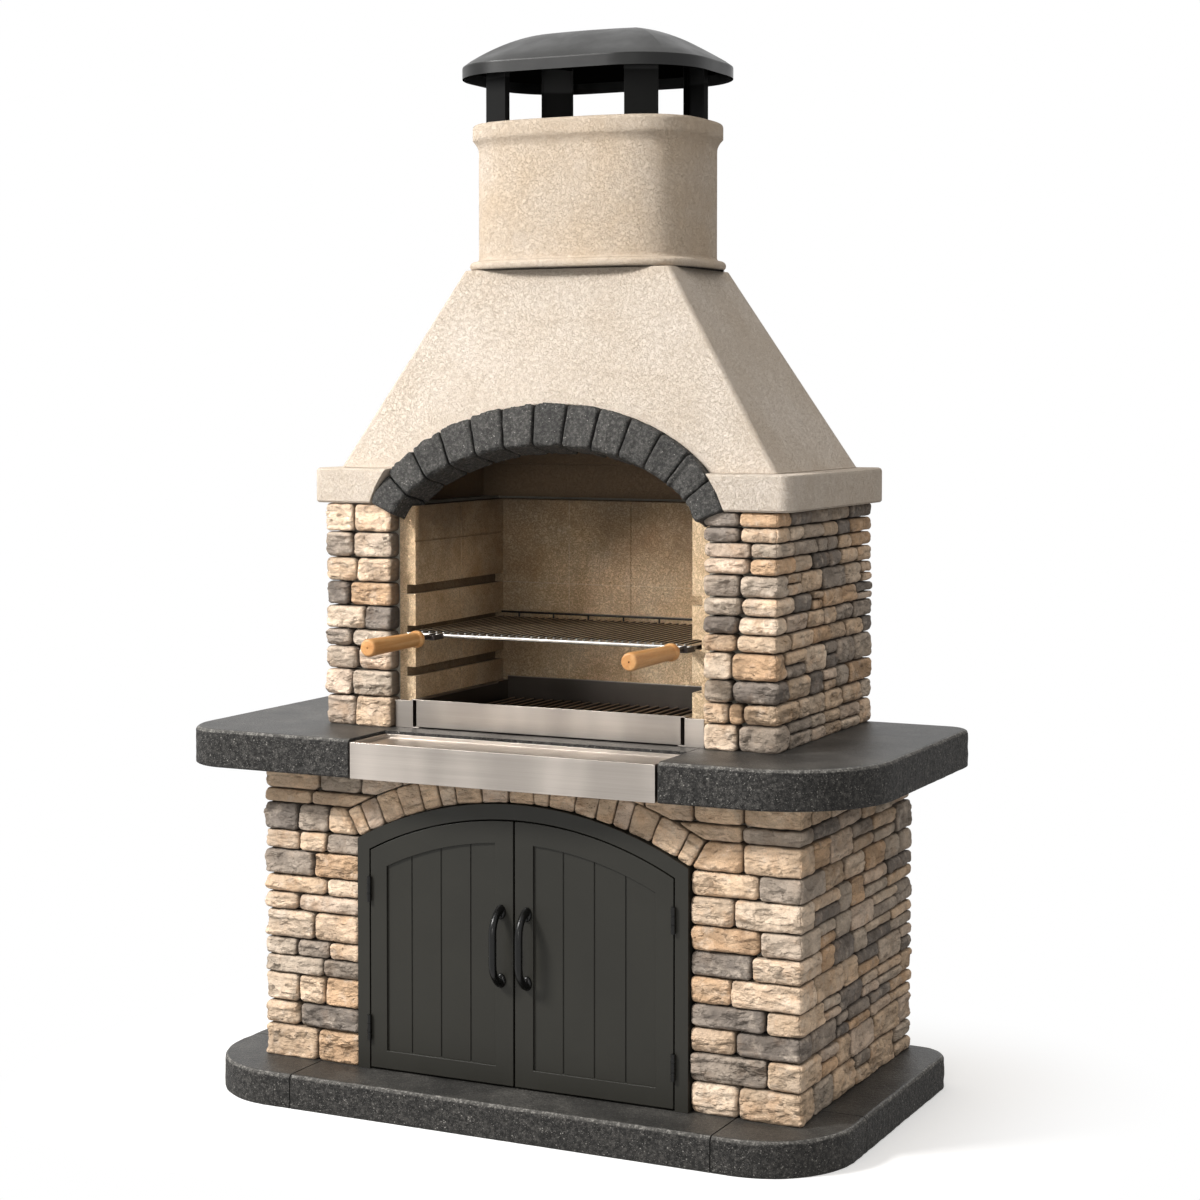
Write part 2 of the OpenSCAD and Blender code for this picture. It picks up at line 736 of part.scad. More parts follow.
module base_stones_front(s) {
    rows = base_rows(s);
    z = levels(rows, z_plinth, z_base + joint);
    color("#c4ad8c") side(s) for (i = [0:len(rows) - 1])
        difference() {
            front_course(rows[i], pier_in(z[i + 1]), base_x, -base_y, base_front_w, core_front,
                         z[i], z[i + 1] - joint, 100 + 40 * i + 600 * s);
            if (z[i + 1] > door_cz + door_r * cos(door_half_angle))
                upright(-base_y - 1, core_front + 1) door_arch_space(stone_ring_r);
        }
}

module door_arch_stones() {
    ends = borders(-door_half_angle, door_half_angle, door_stones, 31, 0.35);
    half_joint = 0.5 * joint / door_stone_r0 * 180 / PI;
    reach = 2 * door_stone_r1;
    color("#bb9f7a") for (k = [0:door_stones - 1]) {
        a0 = ends[k] + half_joint;
        a1 = ends[k + 1] - half_joint;
        upright(-base_y + pick(0, face_play, 70 + k), core_front) intersection() {
            translate([0, door_cz]) difference() {
                circle(door_stone_r1, $fn = 96);
                circle(door_stone_r0, $fn = 96);
            }
            translate([0, door_cz])
                polygon([[0, 0], [reach * sin(a0), reach * cos(a0)],
                         [reach * sin(a1), reach * cos(a1)]]);
            translate([-base_x, z_plinth]) square([base_w, base_h - 0.5]);
        }
    }
}

// Door frame: the arched ring and the thin stop behind the leaves
module door_frame() {
    stop_y1 = door_y + leaf_t + stop_gap + stop_t;
    color("#3b3a36") {
        difference() {
            upright(door_y, core_front) door_outline(door_x, door_r, z_plinth);
            upright(door_y - 1, core_front + 1) door_outline(inner_x, inner_r, z_plinth - 1);
        }
        difference() {
            upright(stop_y1 - stop_t, stop_y1) door_outline(inner_x, inner_r, z_plinth);
            upright(stop_y1 - stop_t - 1, stop_y1 + 1)
                door_outline(leaf_x - stop_lap, leaf_r - stop_lap, z_plinth - 1);
        }
    }
}

// Borders of a leaf between the hinge side and the meeting line
function leaf_x0(s) = s < 0 ? -leaf_x : meet_x + meet_gap / 2;
function leaf_x1(s) = s < 0 ? meet_x - meet_gap / 2 : leaf_x;
function panel_x0(s) = leaf_x0(s) + (s < 0 ? stile_outer : stile_inner);
function panel_x1(s) = leaf_x1(s) - (s < 0 ? stile_inner : stile_outer);

// Outline of a leaf's panel, grown by grow on every side
module panel_outline(s, grow) {
    intersection() {
        translate([panel_x0(s) - grow, panel_z - grow])
            square([panel_x1(s) - panel_x0(s) + 2 * grow, door_h]);
        translate([0, door_cz]) circle(panel_r + grow, $fn = 96);
    }
}

module door_leaf(s) {
    color("#3b3a36") difference() {
        upright(door_y, door_y + leaf_t) intersection() {
            door_outline(leaf_x, leaf_r, leaf_z);
            translate([leaf_x0(s), leaf_z]) square([leaf_x1(s) - leaf_x0(s), door_h]);
        }
        upright(door_y - 1, door_y + leaf_t + 1) panel_outline(s, 0);
        upright(door_y + panel_recess, door_y + leaf_t + 1) panel_outline(s, rebate);
    }
}

module door_panel(s) {
    y0 = door_y + panel_recess;
    mid = (panel_x0(s) + panel_x1(s)) / 2;
    color("#3b3a36") difference() {
        upright(y0, y0 + panel_t) panel_outline(s, rebate - 0.3);
        for (k = [-1:1])
            block(mid + k * board_pitch - groove_w / 2, mid + k * board_pitch + groove_w / 2,
                  y0 - 1, y0 + groove_d, panel_z, door_cz + panel_r + 1);
    }
}

// Bow handle: two feet, two posts, two bends and the bar
module door_handle(s) {
    r = pull_d / 2;
    bar_y = door_y - pull_out + r;
    half = pull_len / 2;
    color("#191a1b") translate([meet_x + s * pull_from_meet, 0, z_plinth + pull_z]) {
        for (m = [0:1]) mirror([0, 0, m]) {
            translate([0, door_y, half]) rotate([90, 0, 0]) cylinder(h = pull_foot_t, d = pull_foot_d);
            translate([0, door_y - pull_foot_t, half]) rotate([90, 0, 0])
                cylinder(h = pull_out - r - pull_bend - pull_foot_t, r = r);
            translate([0, bar_y + pull_bend, half - pull_bend]) rotate([0, -90, 0]) rotate([0, 0, 180])
                mirror([1, 0, 0]) rotate_extrude(angle = 90) translate([pull_bend, 0]) circle(r);
        }
        translate([0, bar_y, -half + pull_bend]) cylinder(h = pull_len - 2 * pull_bend, r = r);
    }
}

// Hinges: segment 0 and 2 are on the frame and segment 1 is on the leaf
function hinge_levels() = [z_plinth + hinge_low, z_plinth + hinge_high];

module hinge_segment(k, leaf_side) {
    for (z = hinge_levels()) {
        z0 = z - hinge_len / 2 + k * (knuckle_len + knuckle_gap);
        x0 = leaf_side ? leaf_x : inner_x - hinge_leaf_t;
        difference() {
            union() {
                translate([hinge_x, hinge_y, z0]) cylinder(h = knuckle_len, d = hinge_d);
                block(x0, x0 + hinge_leaf_t, hinge_y, door_y + leaf_t - 2, z0, z0 + knuckle_len);
            }
            translate([hinge_x, hinge_y, z0 - 1])
                cylinder(h = knuckle_len + 2, r = hinge_pin_d / 2 + hinge_play);
        }
    }
}

module hinge_knuckles_frame() {
    color("#191a1b") for (s = [-1, 1], k = [0, 2]) side(s) hinge_segment(k, false);
}

module hinge_knuckles(s) {
    color("#191a1b") side(s) hinge_segment(1, true);
}

module hinge_pins() {
    color("#191a1b") for (s = [-1, 1], z = hinge_levels()) side(s)
        translate([hinge_x, hinge_y, z - hinge_len / 2]) cylinder(h = hinge_len, d = hinge_pin_d);
}

// Worktop
module worktop_wing(s) {
    x0 = s < 0 ? top_x0 - 1 : bay_x;
    x1 = s < 0 ? -bay_x : top_x1 + 1;
    color("#3d3f42") intersection() {
        slab(top_x0, top_x1, top_y0, top_y1, [top_r_right, top_r_back, top_r_back, top_r_left],
             z_base, z_top, 4, slab_arris);
        block(x0, x1, top_y0 - 1, top_y1 + 1, z_base - 1, z_top + 1);
    }
}

module worktop_centre() {
    x = bay_x - dry_joint;
    color("#3d3f42") block(-x, x, mid_y, top_y1, z_base, z_top);
}

// Folded steel ledge: front apron, two cheeks, a low back and a pan with a rim round it
module front_ledge() {
    x = bay_x - ledge_gap;
    y1 = mid_y - dry_joint;
    z1 = z_base + ledge_h;
    color("#b9b4ab") difference() {
        block(-x, x, top_y0, y1, z_base, z1);
        block(-x + ledge_t, x - ledge_t, top_y0 + ledge_t, y1 - ledge_t,
              z_base - 1, z1 - ledge_pan - ledge_t);
        block(-x + ledge_rim, x - ledge_rim, top_y0 + ledge_rim, y1 - ledge_rim,
              z1 - ledge_pan, z1 + 1);
        for (s = [-1, 1]) side(s)
            block(x - ledge_rim + ledge_t, x - ledge_t, top_y0 + ledge_t, y1 - ledge_t,
                  z_base - 1, z1 - ledge_t);
        for (y = [top_y0 + ledge_t, y1 - ledge_rim + ledge_t])
            block(-x + ledge_t, x - ledge_t, y, y + ledge_rim - 2 * ledge_t,
                  z_base - 1, z1 - ledge_t);
    }
}

// Places children on the leaning face of the firebox arch: X across, Y up the face
module arch_face() {
    translate([0, cornice_y0, z_pillar]) rotate([90 - arch_lean, 0, 0]) children();
}

// Points on the outside and the inside of the arch, where t runs from -1 to 1
function arch_out(t, c) =
    let (a = 90 - 77.5 * (t + 0.12 * (t * t * t - t)))
    [(arch_out_a + c) * cos(a), -arch_out_drop + (arch_out_b + c) * sin(a)];
function arch_in(t, c) =
    let (a = 90 - 72.4 * (t + 0.05 * (t * t * t - t)))
    [(arch_in_a - c) * cos(a), -arch_in_drop + (arch_in_b - c) * sin(a)];

arch_half_len = 1.25 * arch_out_a;
arch_end = 1 + arch_clear / arch_half_len;
arch_steps = 2 * arch_stones_n;

// Space that the arch stones take, with clearance round them
module arch_space() {
    outside = [for (i = [0:arch_steps]) arch_out(arch_end * (2 * i / arch_steps - 1), arch_clear)];
    inside = [for (i = [arch_steps:-1:0]) arch_in(arch_end * (2 * i / arch_steps - 1), arch_clear)];
    arch_face() translate([0, 0, -arch_d - arch_clear])
        linear_extrude(arch_d + 60) polygon(concat(outside, inside));
}

// Opening under and through the arch, for the cornice and the hood
module arch_opening() {
    outside = [for (i = [0:arch_steps]) arch_out(arch_end * (2 * i / arch_steps - 1), arch_clear)];
    foot_x = arch_in(arch_end, arch_clear)[0];
    foot_y = arch_in(arch_end, arch_clear)[1];
    low_y = foot_y - cornice_h;
    arch_face() translate([0, 0, -arch_d - arch_clear]) linear_extrude(arch_d + 60)
        polygon(concat(outside, [[foot_x, foot_y], [foot_x, low_y], [-foot_x, low_y],
                                 [-foot_x, foot_y]]));
}

// Wedge stones of the firebox arch
module arch_stones() {
    g = arch_joint / (2 * arch_half_len);
    color("#3a3b3d") arch_face() translate([0, 0, -arch_d]) for (k = [0:arch_stones_n - 1]) {
        t0 = 2 * k / arch_stones_n - 1 + g;
        t1 = 2 * (k + 1) / arch_stones_n - 1 - g;
        tm = (t0 + t1) / 2;
        linear_extrude(arch_d)
            polygon([arch_out(t0, 0), arch_out(tm, 0), arch_out(t1, 0),
                     arch_in(t1, 0), arch_in(tm, 0), arch_in(t0, 0)]);
    }
}

// Firebox
module side_wall(s) {
    color("#8b867d") difference() {
        side(s) block(pillar_x0, wall_x1, wall_y0, top_y1, z_top, z_pillar);
        arch_space();
    }
}

module back_panel() {
    color("#8b867d") block(-pillar_x0, pillar_x0, liner_back_y1, top_y1, z_top, z_pillar);
}

// Levels of the floors of the grate slots
function slot_z(k) = z_top + slot_low + k * slot_pitch;

module side_liner(s) {
    seam_y = (wall_y0 + liner_y1) / 2;
    color("#a8957a") difference() {
        side(s) difference() {
            block(fire_x, pillar_x0, wall_y0, liner_y1, z_top, liner_z1);
            for (k = [0:slots - 1])
                block(fire_x - 1, slot_x, wall_y0 - 1, liner_y1 + 1, slot_z(k), slot_z(k) + slot_h);
            block(fire_x - 1, fire_x + liner_groove, wall_y0 - 1, liner_y1 + 1,
                  z_top + liner_seam_z, z_top + liner_seam_z + liner_groove);
            block(fire_x - 1, fire_x + liner_groove, seam_y, seam_y + liner_groove,
                  z_top - 1, liner_z1 + 1);
        }
        arch_space();
    }
}

module liner_back() {
    color("#a8957a") difference() {
        block(-pillar_x0, pillar_x0, liner_y1, liner_back_y1, z_top, liner_z1);
        block(-fire_x, fire_x, liner_y1 - 1, liner_y1 + liner_groove,
              z_top + liner_seam_z / 2, z_top + liner_seam_z / 2 + liner_groove);
        block(-liner_groove / 2, liner_groove / 2, liner_y1 - 1, liner_y1 + liner_groove,
              z_top - 1, liner_z1 + 1);
    }
}

// Pillar cladding
module pillar_course(row, z0, z1, seed) {
    side_course(row, pillar_x1, pillar_y, top_y1, pillar_w, wall_x1, wall_y0, z0, z1,
                pillar_side_stones, seed);
    front_course(row, pillar_x0 + joint / 2, pillar_x1, pillar_y, pillar_w, wall_y0, z0, z1, seed);
}

module pillar_stones(s) {
    rows = s < 0 ? pillar_left_rows : pillar_right_rows;
    z = levels(rows, z_top, z_pillar + joint - 2);
    color("#c4ad8c") for (i = [0:len(rows) - 1])
        difference() {
            side(s) pillar_course(rows[i], z[i], z[i + 1] - joint, 3000 + 40 * i + 700 * s);
            if (z[i + 1] > z_pillar - arch_in_drop) arch_space();
        }
}

// Cornice: a ring beam whose front bar is cut by the arch
module cornice() {
    color("#cdbfa8") difference() {
        slab(-cornice_x, cornice_x, cornice_y0, top_y1, [cornice_r, cornice_r, cornice_r, cornice_r],
             z_pillar, z_cornice, 4, 7);
        block(-cornice_x + cornice_bar, cornice_x - cornice_bar, hood_y0 + hood_wall, hood_y1 - hood_wall,
              z_pillar - 1, z_cornice + 1);
        arch_opening();
    }
}

// Body of the hood, drawn in level by level by inset
module hood_body(inset, z0, z1) {
    span = (z1 - z_cornice) / hood_h;
    foot = (z0 - z_cornice) / hood_h;
    ends = [foot, span];
    loft([for (u = ends)
              mid_ring(0, hood_my + (chimney_y - hood_my) * u,
                       hood_half_w + (hood_top_half_w - hood_half_w) * u - inset,
                       hood_half_d + (hood_top_half_d - hood_half_d) * u - inset,
                       max(6, hood_r + (hood_top_r - hood_r) * u - inset), 6)],
         [z0, z1]);
}

module hood() {
    color("#cdbfa8") difference() {
        hood_body(0, z_cornice, z_hood);
        hood_body(hood_wall, z_cornice - 2, z_hood + 2);
        arch_opening();
    }
}

// Chimney: foot ring, tube, flare and rim, with a seat for the cap's posts
module chimney() {
    steps = 9;
    outer = [ring_r, ring_r, tube_r, tube_r, rim_r, rim_r];
    rise = [0, ring_h, ring_h + 3, chimney_h - rim_h - flare_h, chimney_h - rim_h, chimney_h];
    color("#cdbfa8") difference() {
        loft([for (r = outer) oval_ring(r, steps)], [for (h = rise) z_hood + h]);
        loft([oval_ring(bore_r, steps), oval_ring(bore_r, steps)], [z_hood - 1, z_chimney + 1]);
        loft([oval_ring(seat_r, steps), oval_ring(seat_r, steps)], [seat_z, z_chimney + 1]);
    }
}

// Edge of the cap's plan, thinned by c: x for a given y, and y for a given x
function edge_x(y, c) = y < oval_y ? cap_x - c
    : oval_x + sqrt(max(0, (cap_r - c) * (cap_r - c) - (y - oval_y) * (y - oval_y)));
function edge_y(x, c) = x < oval_x ? cap_y - c
    : oval_y + sqrt(max(0, (cap_r - c) * (cap_r - c) - (x - oval_x) * (x - oval_x)));

// A quarter of the cap's plan at the share u of its reach; hips run to the four corners
function cap_quarter(u, c, steps) =
    let (k = cos(45) * (cap_r - c), hx = oval_x + k, hy = oval_y + k, m = min(1, (1 - u) / 0.25))
    concat([for (i = [0:steps])
                let (y = hy * i / steps, bow = cap_x - c - (cap_x - c - hx) * (y / hy) * (y / hy),
                     x = edge_x(y, c) * (1 - m) + bow * m)
                [cap_ridge + (x - cap_ridge) * u, y * u]],
           [for (i = [1:steps])
                let (x = hx * (1 - i / steps), bow = cap_y - c - (cap_y - c - hy) * (x / hx) * (x / hx),
                     y = edge_y(x, c) * (1 - m) + bow * m)
                [x * u + cap_ridge * (x / hx) * (1 - u), y * u]]);

function cap_plan(u, c) =
    let (q = cap_quarter(u, c, 5), n = len(q))
    [for (p = concat(q, [for (i = [n - 2:-1:0]) [-q[i][0], q[i][1]]],
                     [for (i = [1:n - 1]) [-q[i][0], -q[i][1]]],
                     [for (i = [n - 2:-1:1]) [q[i][0], -q[i][1]]])) [p[0], p[1] + chimney_y]];

// Outside of the cap, or its inside when c is the sheet; foot is the level that it starts at
module cap_mass(c, foot) {
    shares = [1, 0.9, 0.76, 0.6, 0.42, 0.22, 0.03];
    z_edge = z_cap + cap_edge_h - c;
    loft(concat([cap_plan(1, c)], [for (u = shares) cap_plan(u, c)]),
         concat([foot], [for (u = shares) z_edge + cap_dome * (1 - pow(u, 1.9))]));
}

module cap() {
    color("#3a3936") difference() {
        cap_mass(0, z_cap);
        cap_mass(cap_t, z_cap - 1);
    }
}

// Channel posts that stand on the seat in the rim and hold the cap
module cap_posts() {
    gap = 0.3;
    reach = sqrt((seat_r - gap) * (seat_r - gap) - post_w * post_w / 4) - 0.4;
    color("#3a3936") for (sx = [-1, 1], sy = [-1, 1]) {
        a = atan2(sy * sin(post_angle), sx * cos(post_angle));
        intersection() {
            translate([sx * oval_x, chimney_y + sy * oval_y, seat_z]) rotate([0, 0, a])
                difference() {
                    translate([reach - post_lip, -post_w / 2, 0])
                        cube([post_lip, post_w, z_cap + cap_edge_h + cap_dome - seat_z]);
                    translate([reach - post_lip - 1, -post_w / 2 + post_t, -1])
                        cube([post_lip + 1 - post_t, post_w - 2 * post_t,
                              z_cap + cap_edge_h + cap_dome - seat_z + 2]);
                }
            cap_mass(cap_t + gap, seat_z - 1);
        }
    }
}

// Steel guides: a flange under the tray, a low side and a front plate over the liner's end
module tray_guide(s) {
    plate_x = guide_x1 - guide_plate_in;
    color("#b9b4ab") side(s) {
        block(guide_x1 - guide_flange, guide_x1, tray_y0, tray_y1, z_top, z_top + guide_t);
        block(guide_x1 - guide_t, guide_x1, tray_y0, tray_y1, z_top, z_top + guide_h);
        block(plate_x, plate_x + guide_plate_w, tray_y0, tray_y0 + guide_t, z_top, z_top + guide_h);
    }
}

// Fire tray: an open box with side flanges, a taller back and a folded front edge
module fire_tray() {
    color("#b9b4ab") {
        difference() {
            block(-tray_x, tray_x, tray_y0, tray_y1, tray_z0, tray_z1);
            block(-tray_x + tray_t, tray_x - tray_t, tray_y0 + tray_t, tray_y1 - tray_t,
                  tray_z0 + tray_t, tray_z1 + 1);
        }
        for (s = [-1, 1]) side(s)
            block(tray_x - tray_t, tray_x + tray_flange, tray_y0, tray_y1, tray_z1, tray_z1 + tray_t);
        block(-tray_x, tray_x, tray_y1 - tray_t, tray_y1, tray_z1, tray_z1 + tray_back_up);
        block(-tray_x, tray_x, tray_y0, tray_y0 + 5, tray_z1, tray_z1 + tray_t);
    }
}

// Charcoal grate: round bars welded across three flat feet
module charcoal_grate() {
    x1 = tray_x - tray_t - 7;
    y0 = tray_y0 + tray_t + 7;
    y1 = tray_y1 - tray_t - 7;
    z0 = tray_z0 + tray_t + 0.3;
    sink = 0.6;
    n = floor((2 * x1 - coal_bar_d) / coal_pitch);
    color("#4a4640") {
        for (y = [y0 + 40, (y0 + y1) / 2, y1 - 40])
            block(-x1, x1, y - 3, y + 3, z0, z0 + coal_foot_h);
        for (k = [0:n])
            translate([(k - n / 2) * coal_pitch, y0, z0 + coal_foot_h - sink + coal_bar_d / 2])
                rotate([-90, 0, 0]) cylinder(h = y1 - y0, d = coal_bar_d, $fn = 24);
    }
}

// Wires and their places across the cooking grate
wires = floor((2 * grate_x - 3 * rod_d) / wire_pitch);
function wire_x(k) = (k - wires / 2) * wire_pitch;

// Cooking grate: a welded frame of round rods with a raised rail on stubs at the back
module grate_frame() {
    r = rod_d / 2;
    color("#c9c8c4") {
        translate([-fire_x + rod_d, grate_y1, grate_z + back_rail_up]) rotate([0, 90, 0])
            cylinder(h = 2 * (fire_x - rod_d), r = 0.75 * r);
        for (k = [2:stub_every:wires - 1])
            translate([wire_x(k + 0.5), grate_y1, grate_z + r / 2])
                cylinder(h = back_rail_up - r, r = r / 2, $fn = 24);
        for (y = [grate_y0, grate_y1])
            translate([-grate_x, y, grate_z]) rotate([0, 90, 0]) cylinder(h = 2 * grate_x, r = r);
        for (s = [-1, 1])
            translate([s * (grate_x - r), grate_y0 + 1, grate_z])
                rotate([-90, 0, 0]) cylinder(h = grate_d - 2, r = r - 0.05);
    }
}

// Wires that lie on the frame from front to back
module grate_wires() {
    color("#c9c8c4") for (k = [0:wires])
        translate([wire_x(k), grate_y0 - rod_d / 2, grate_z + (rod_d + wire_d) / 2 + 0.05])
            rotate([-90, 0, 0]) cylinder(h = grate_d + rod_d, d = wire_d, $fn = 16);
}

// Places of the two handles of the cooking grate
function grip_places() = [-grip_left_x, grip_right_x];

// Forks: a shaft that ends in two lugs, cupped round the front of the front rod
module grate_forks() {
    bore = rod_d + 2 * lug_play;
    lug_y1 = 0.8;
    color("#26211f") for (x = grip_places()) translate([x, grate_y0, grate_z]) difference() {
        union() {
            for (s = [-1, 1])
                translate([s * (fork_w - lug_t) / 2 - lug_t / 2, -fork_len, -bore / 2 - 2.5])
                    cube([lug_t, fork_len + lug_y1, bore + 5]);
            translate([-fork_w / 2, -fork_len, -bore / 2 - 2.5]) cube([fork_w, 6, bore + 5]);
            translate([0, -fork_len + 1, 0]) rotate([90, 0, 0])
                cylinder(h = shaft_len + 20 - fork_len + 1, d = shaft_d);
        }
        translate([-fork_w, 0, 0]) rotate([0, 90, 0]) cylinder(h = 2 * fork_w, d = bore);
        translate([-fork_w, -fork_len - 1, rod_d / 2 - 0.2]) cube([2 * fork_w, 2 * fork_len, bore]);
    }
}

// Turned wooden grips with a socket for the shaft
module grate_grips() {
    play = 0.1;
    r = grip_r;
    profile = [[shaft_d / 2 + play, 0], [0.6 * r, 0], [0.9 * r, 0.03 * grip_len],
               [r, 0.1 * grip_len], [0.97 * r, 0.17 * grip_len], [0.84 * r, 0.3 * grip_len],
               [0.89 * r, 0.58 * grip_len], [0.97 * r, 0.9 * grip_len], [0.94 * r, grip_len],
               [0, grip_len], [0, 20.3], [shaft_d / 2 + play, 20.3]];
    color("#d9a868") for (x = grip_places())
        translate([x, grip_y1, grate_z]) rotate([90, 0, 0]) rotate_extrude() polygon(profile);
}

plinth_front_centre();
plinth_corner(-1);  // plinth_corner_left
plinth_corner(1);  // plinth_corner_right
plinth_side(-1);  // plinth_side_left
plinth_side(1);  // plinth_side_right
floor_slab();
base_front_panel();
base_side_wall(-1);  // base_left_wall
base_side_wall(1);  // base_right_wall
base_back_wall();
base_stones_side(-1);  // base_stones_left
base_stones_side(1);  // base_stones_right
base_stones_front(-1);  // base_stones_front_left
base_stones_front(1);  // base_stones_front_right
door_arch_stones();
door_frame();
door_leaf(-1);  // door_left
door_panel(-1);  // door_left_panel
door_handle(-1);  // door_left_handle
door_leaf(1);  // door_right
door_panel(1);  // door_right_panel
door_handle(1);  // door_right_handle
hinge_knuckles_frame();
hinge_knuckles(-1);  // hinge_knuckles_left
hinge_knuckles(1);  // hinge_knuckles_right
hinge_pins();
worktop_wing(-1);  // worktop_left
worktop_centre();
worktop_wing(1);  // worktop_right
front_ledge();
side_wall(-1);  // side_wall_left
side_wall(1);  // side_wall_right
side_liner(-1);  // liner_left
side_liner(1);  // liner_right
liner_back();
back_panel();
pillar_stones(-1);  // pillar_stones_left
pillar_stones(1);  // pillar_stones_right
cornice();
hood();
arch_stones();
chimney();
cap();
cap_posts();
tray_guide(-1);  // tray_guide_left
tray_guide(1);  // tray_guide_right
fire_tray();
charcoal_grate();
grate_frame();
grate_wires();
grate_forks();
grate_grips();
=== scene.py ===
"""Looks of an outdoor masonry barbecue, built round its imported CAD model.

Lengths are in metres in the model's own frame: X to the right, Y to the back, Z up. The stone
faces, slabs, hood, chimney and cap are built here as finer meshes that stand for their CAD nodes;
the other nodes keep their shape and get bevelled edges or a material.
"""

import itertools
import json
import math

import bmesh
import bpy
import numpy as np
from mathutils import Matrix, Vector


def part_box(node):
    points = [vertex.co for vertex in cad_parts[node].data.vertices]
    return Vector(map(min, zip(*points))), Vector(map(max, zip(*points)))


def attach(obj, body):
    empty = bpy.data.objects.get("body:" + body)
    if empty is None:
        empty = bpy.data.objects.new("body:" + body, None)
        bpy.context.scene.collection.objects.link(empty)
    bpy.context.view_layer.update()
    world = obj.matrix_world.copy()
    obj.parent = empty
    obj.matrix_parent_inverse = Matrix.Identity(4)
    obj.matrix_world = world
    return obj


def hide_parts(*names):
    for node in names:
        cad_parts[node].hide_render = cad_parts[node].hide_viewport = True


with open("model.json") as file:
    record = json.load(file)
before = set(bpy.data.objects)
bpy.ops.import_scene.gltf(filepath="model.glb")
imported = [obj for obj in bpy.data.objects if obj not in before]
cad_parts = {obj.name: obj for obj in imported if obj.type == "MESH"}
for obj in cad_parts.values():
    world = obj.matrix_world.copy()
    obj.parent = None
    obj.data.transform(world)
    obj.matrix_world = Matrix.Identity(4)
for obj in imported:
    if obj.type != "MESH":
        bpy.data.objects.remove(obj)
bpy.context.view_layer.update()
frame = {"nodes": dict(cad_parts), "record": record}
NODES = frame["nodes"]

MM = 0.001
FLUE_Y = 0.037
GRATE_FRONT = -0.205
TRAY_MIDDLE, TRAY_RIM, TRAY_BACK_RISE = (0.0, -0.006), 0.8404, 0.011
LINER_FACE = 0.324

# Places of the joints between the firebricks in X, Y and Z
BRICK_JOINTS = (-0.155, 0.012, 1.066)
# Heights over which a look fades into another; several of these bound painted shade: at the plinth's
# seams, at the top of the firebox liners, inside the hood and inside the fire tray
HEIGHTS = {"seams": (0.08, 0.09), "tray": (0.83, 0.845), "liner_top_shade": (1.06, 1.3), "hood_inner_shade": (1.27, 1.55),
           "weather": (1.72, 1.8), "cap": (2.166, 2.172)}
# Places in Y over which the painted shade inside a part begins behind its front
FRONTS = {"hood": (-0.165, -0.14), "liner": (-0.188, -0.17), "tray": (-0.19, -0.17)}


# Numbers and noise

def spread(seed, low, high, count=None):
    """Even random numbers between low and high."""
    return np.random.default_rng(seed).uniform(low, high, count)


def smooth(x):
    """x from 0 to 1, flattened towards both ends."""
    x = np.clip(x, 0, 1)
    return x * x * (3 - 2 * x)


def lattice_value(ix, iy, iz, seed):
    """A number from -1 to 1 for every corner of a cubic grid."""
    h = ix * 374761393 + iy * 668265263 + iz * 2147483647 + seed * 1013904223
    h = (h ^ (h >> 13)) * 1274126177 & 0xFFFFFFFF
    h = h ^ (h >> 16)
    return (h & 0xFFFF) / 32767.5 - 1


def soft_noise(points, scale, seed=0):
    """Smooth noise from -1 to 1 at points; scale is in cells for each metre."""
    p = points * scale
    cell = np.floor(p).astype(np.int64)
    f = smooth(p - cell)
    total = 0
    for corner in itertools.product((0, 1), repeat=3):
        x, y, z = (f[..., i] if one else 1 - f[..., i] for i, one in enumerate(corner))
        at = [cell[..., i] + one for i, one in enumerate(corner)]
        total = total + x * y * z * lattice_value(*at, seed)
    return total


def rough_noise(points, scale, seed=0, octaves=3, gain=0.5):
    """Noise with finer and weaker layers on it."""
    total, share = 0, 1.0
    for k in range(octaves):
        total = total + share * soft_noise(points, scale * 2.03**k, seed + 17 * k)
        share *= gain
    return total


# Materials

def srgb(code):
    """Linear colour of a written #rrggbb colour."""
    parts = [int(code[i:i + 2], 16) / 255 for i in (1, 3, 5)]
    return [c / 12.92 if c <= 0.04045 else ((c + 0.055) / 1.055) ** 2.4 for c in parts] + [1.0]


class Value:
    """A number that a node tree works out, for sums with other values and with plain numbers."""

    def __init__(self, nodes, socket):
        self.nodes, self.socket = nodes, socket

    def __add__(self, other):
        return self.nodes.math("ADD", self, other)

    def __sub__(self, other):
        return self.nodes.math("SUBTRACT", self, other)

    def __rsub__(self, other):
        return self.nodes.math("SUBTRACT", other, self)

    def __mul__(self, other):
        return self.nodes.math("MULTIPLY", self, other)

    def __abs__(self):
        return self.nodes.math("ABSOLUTE", self)


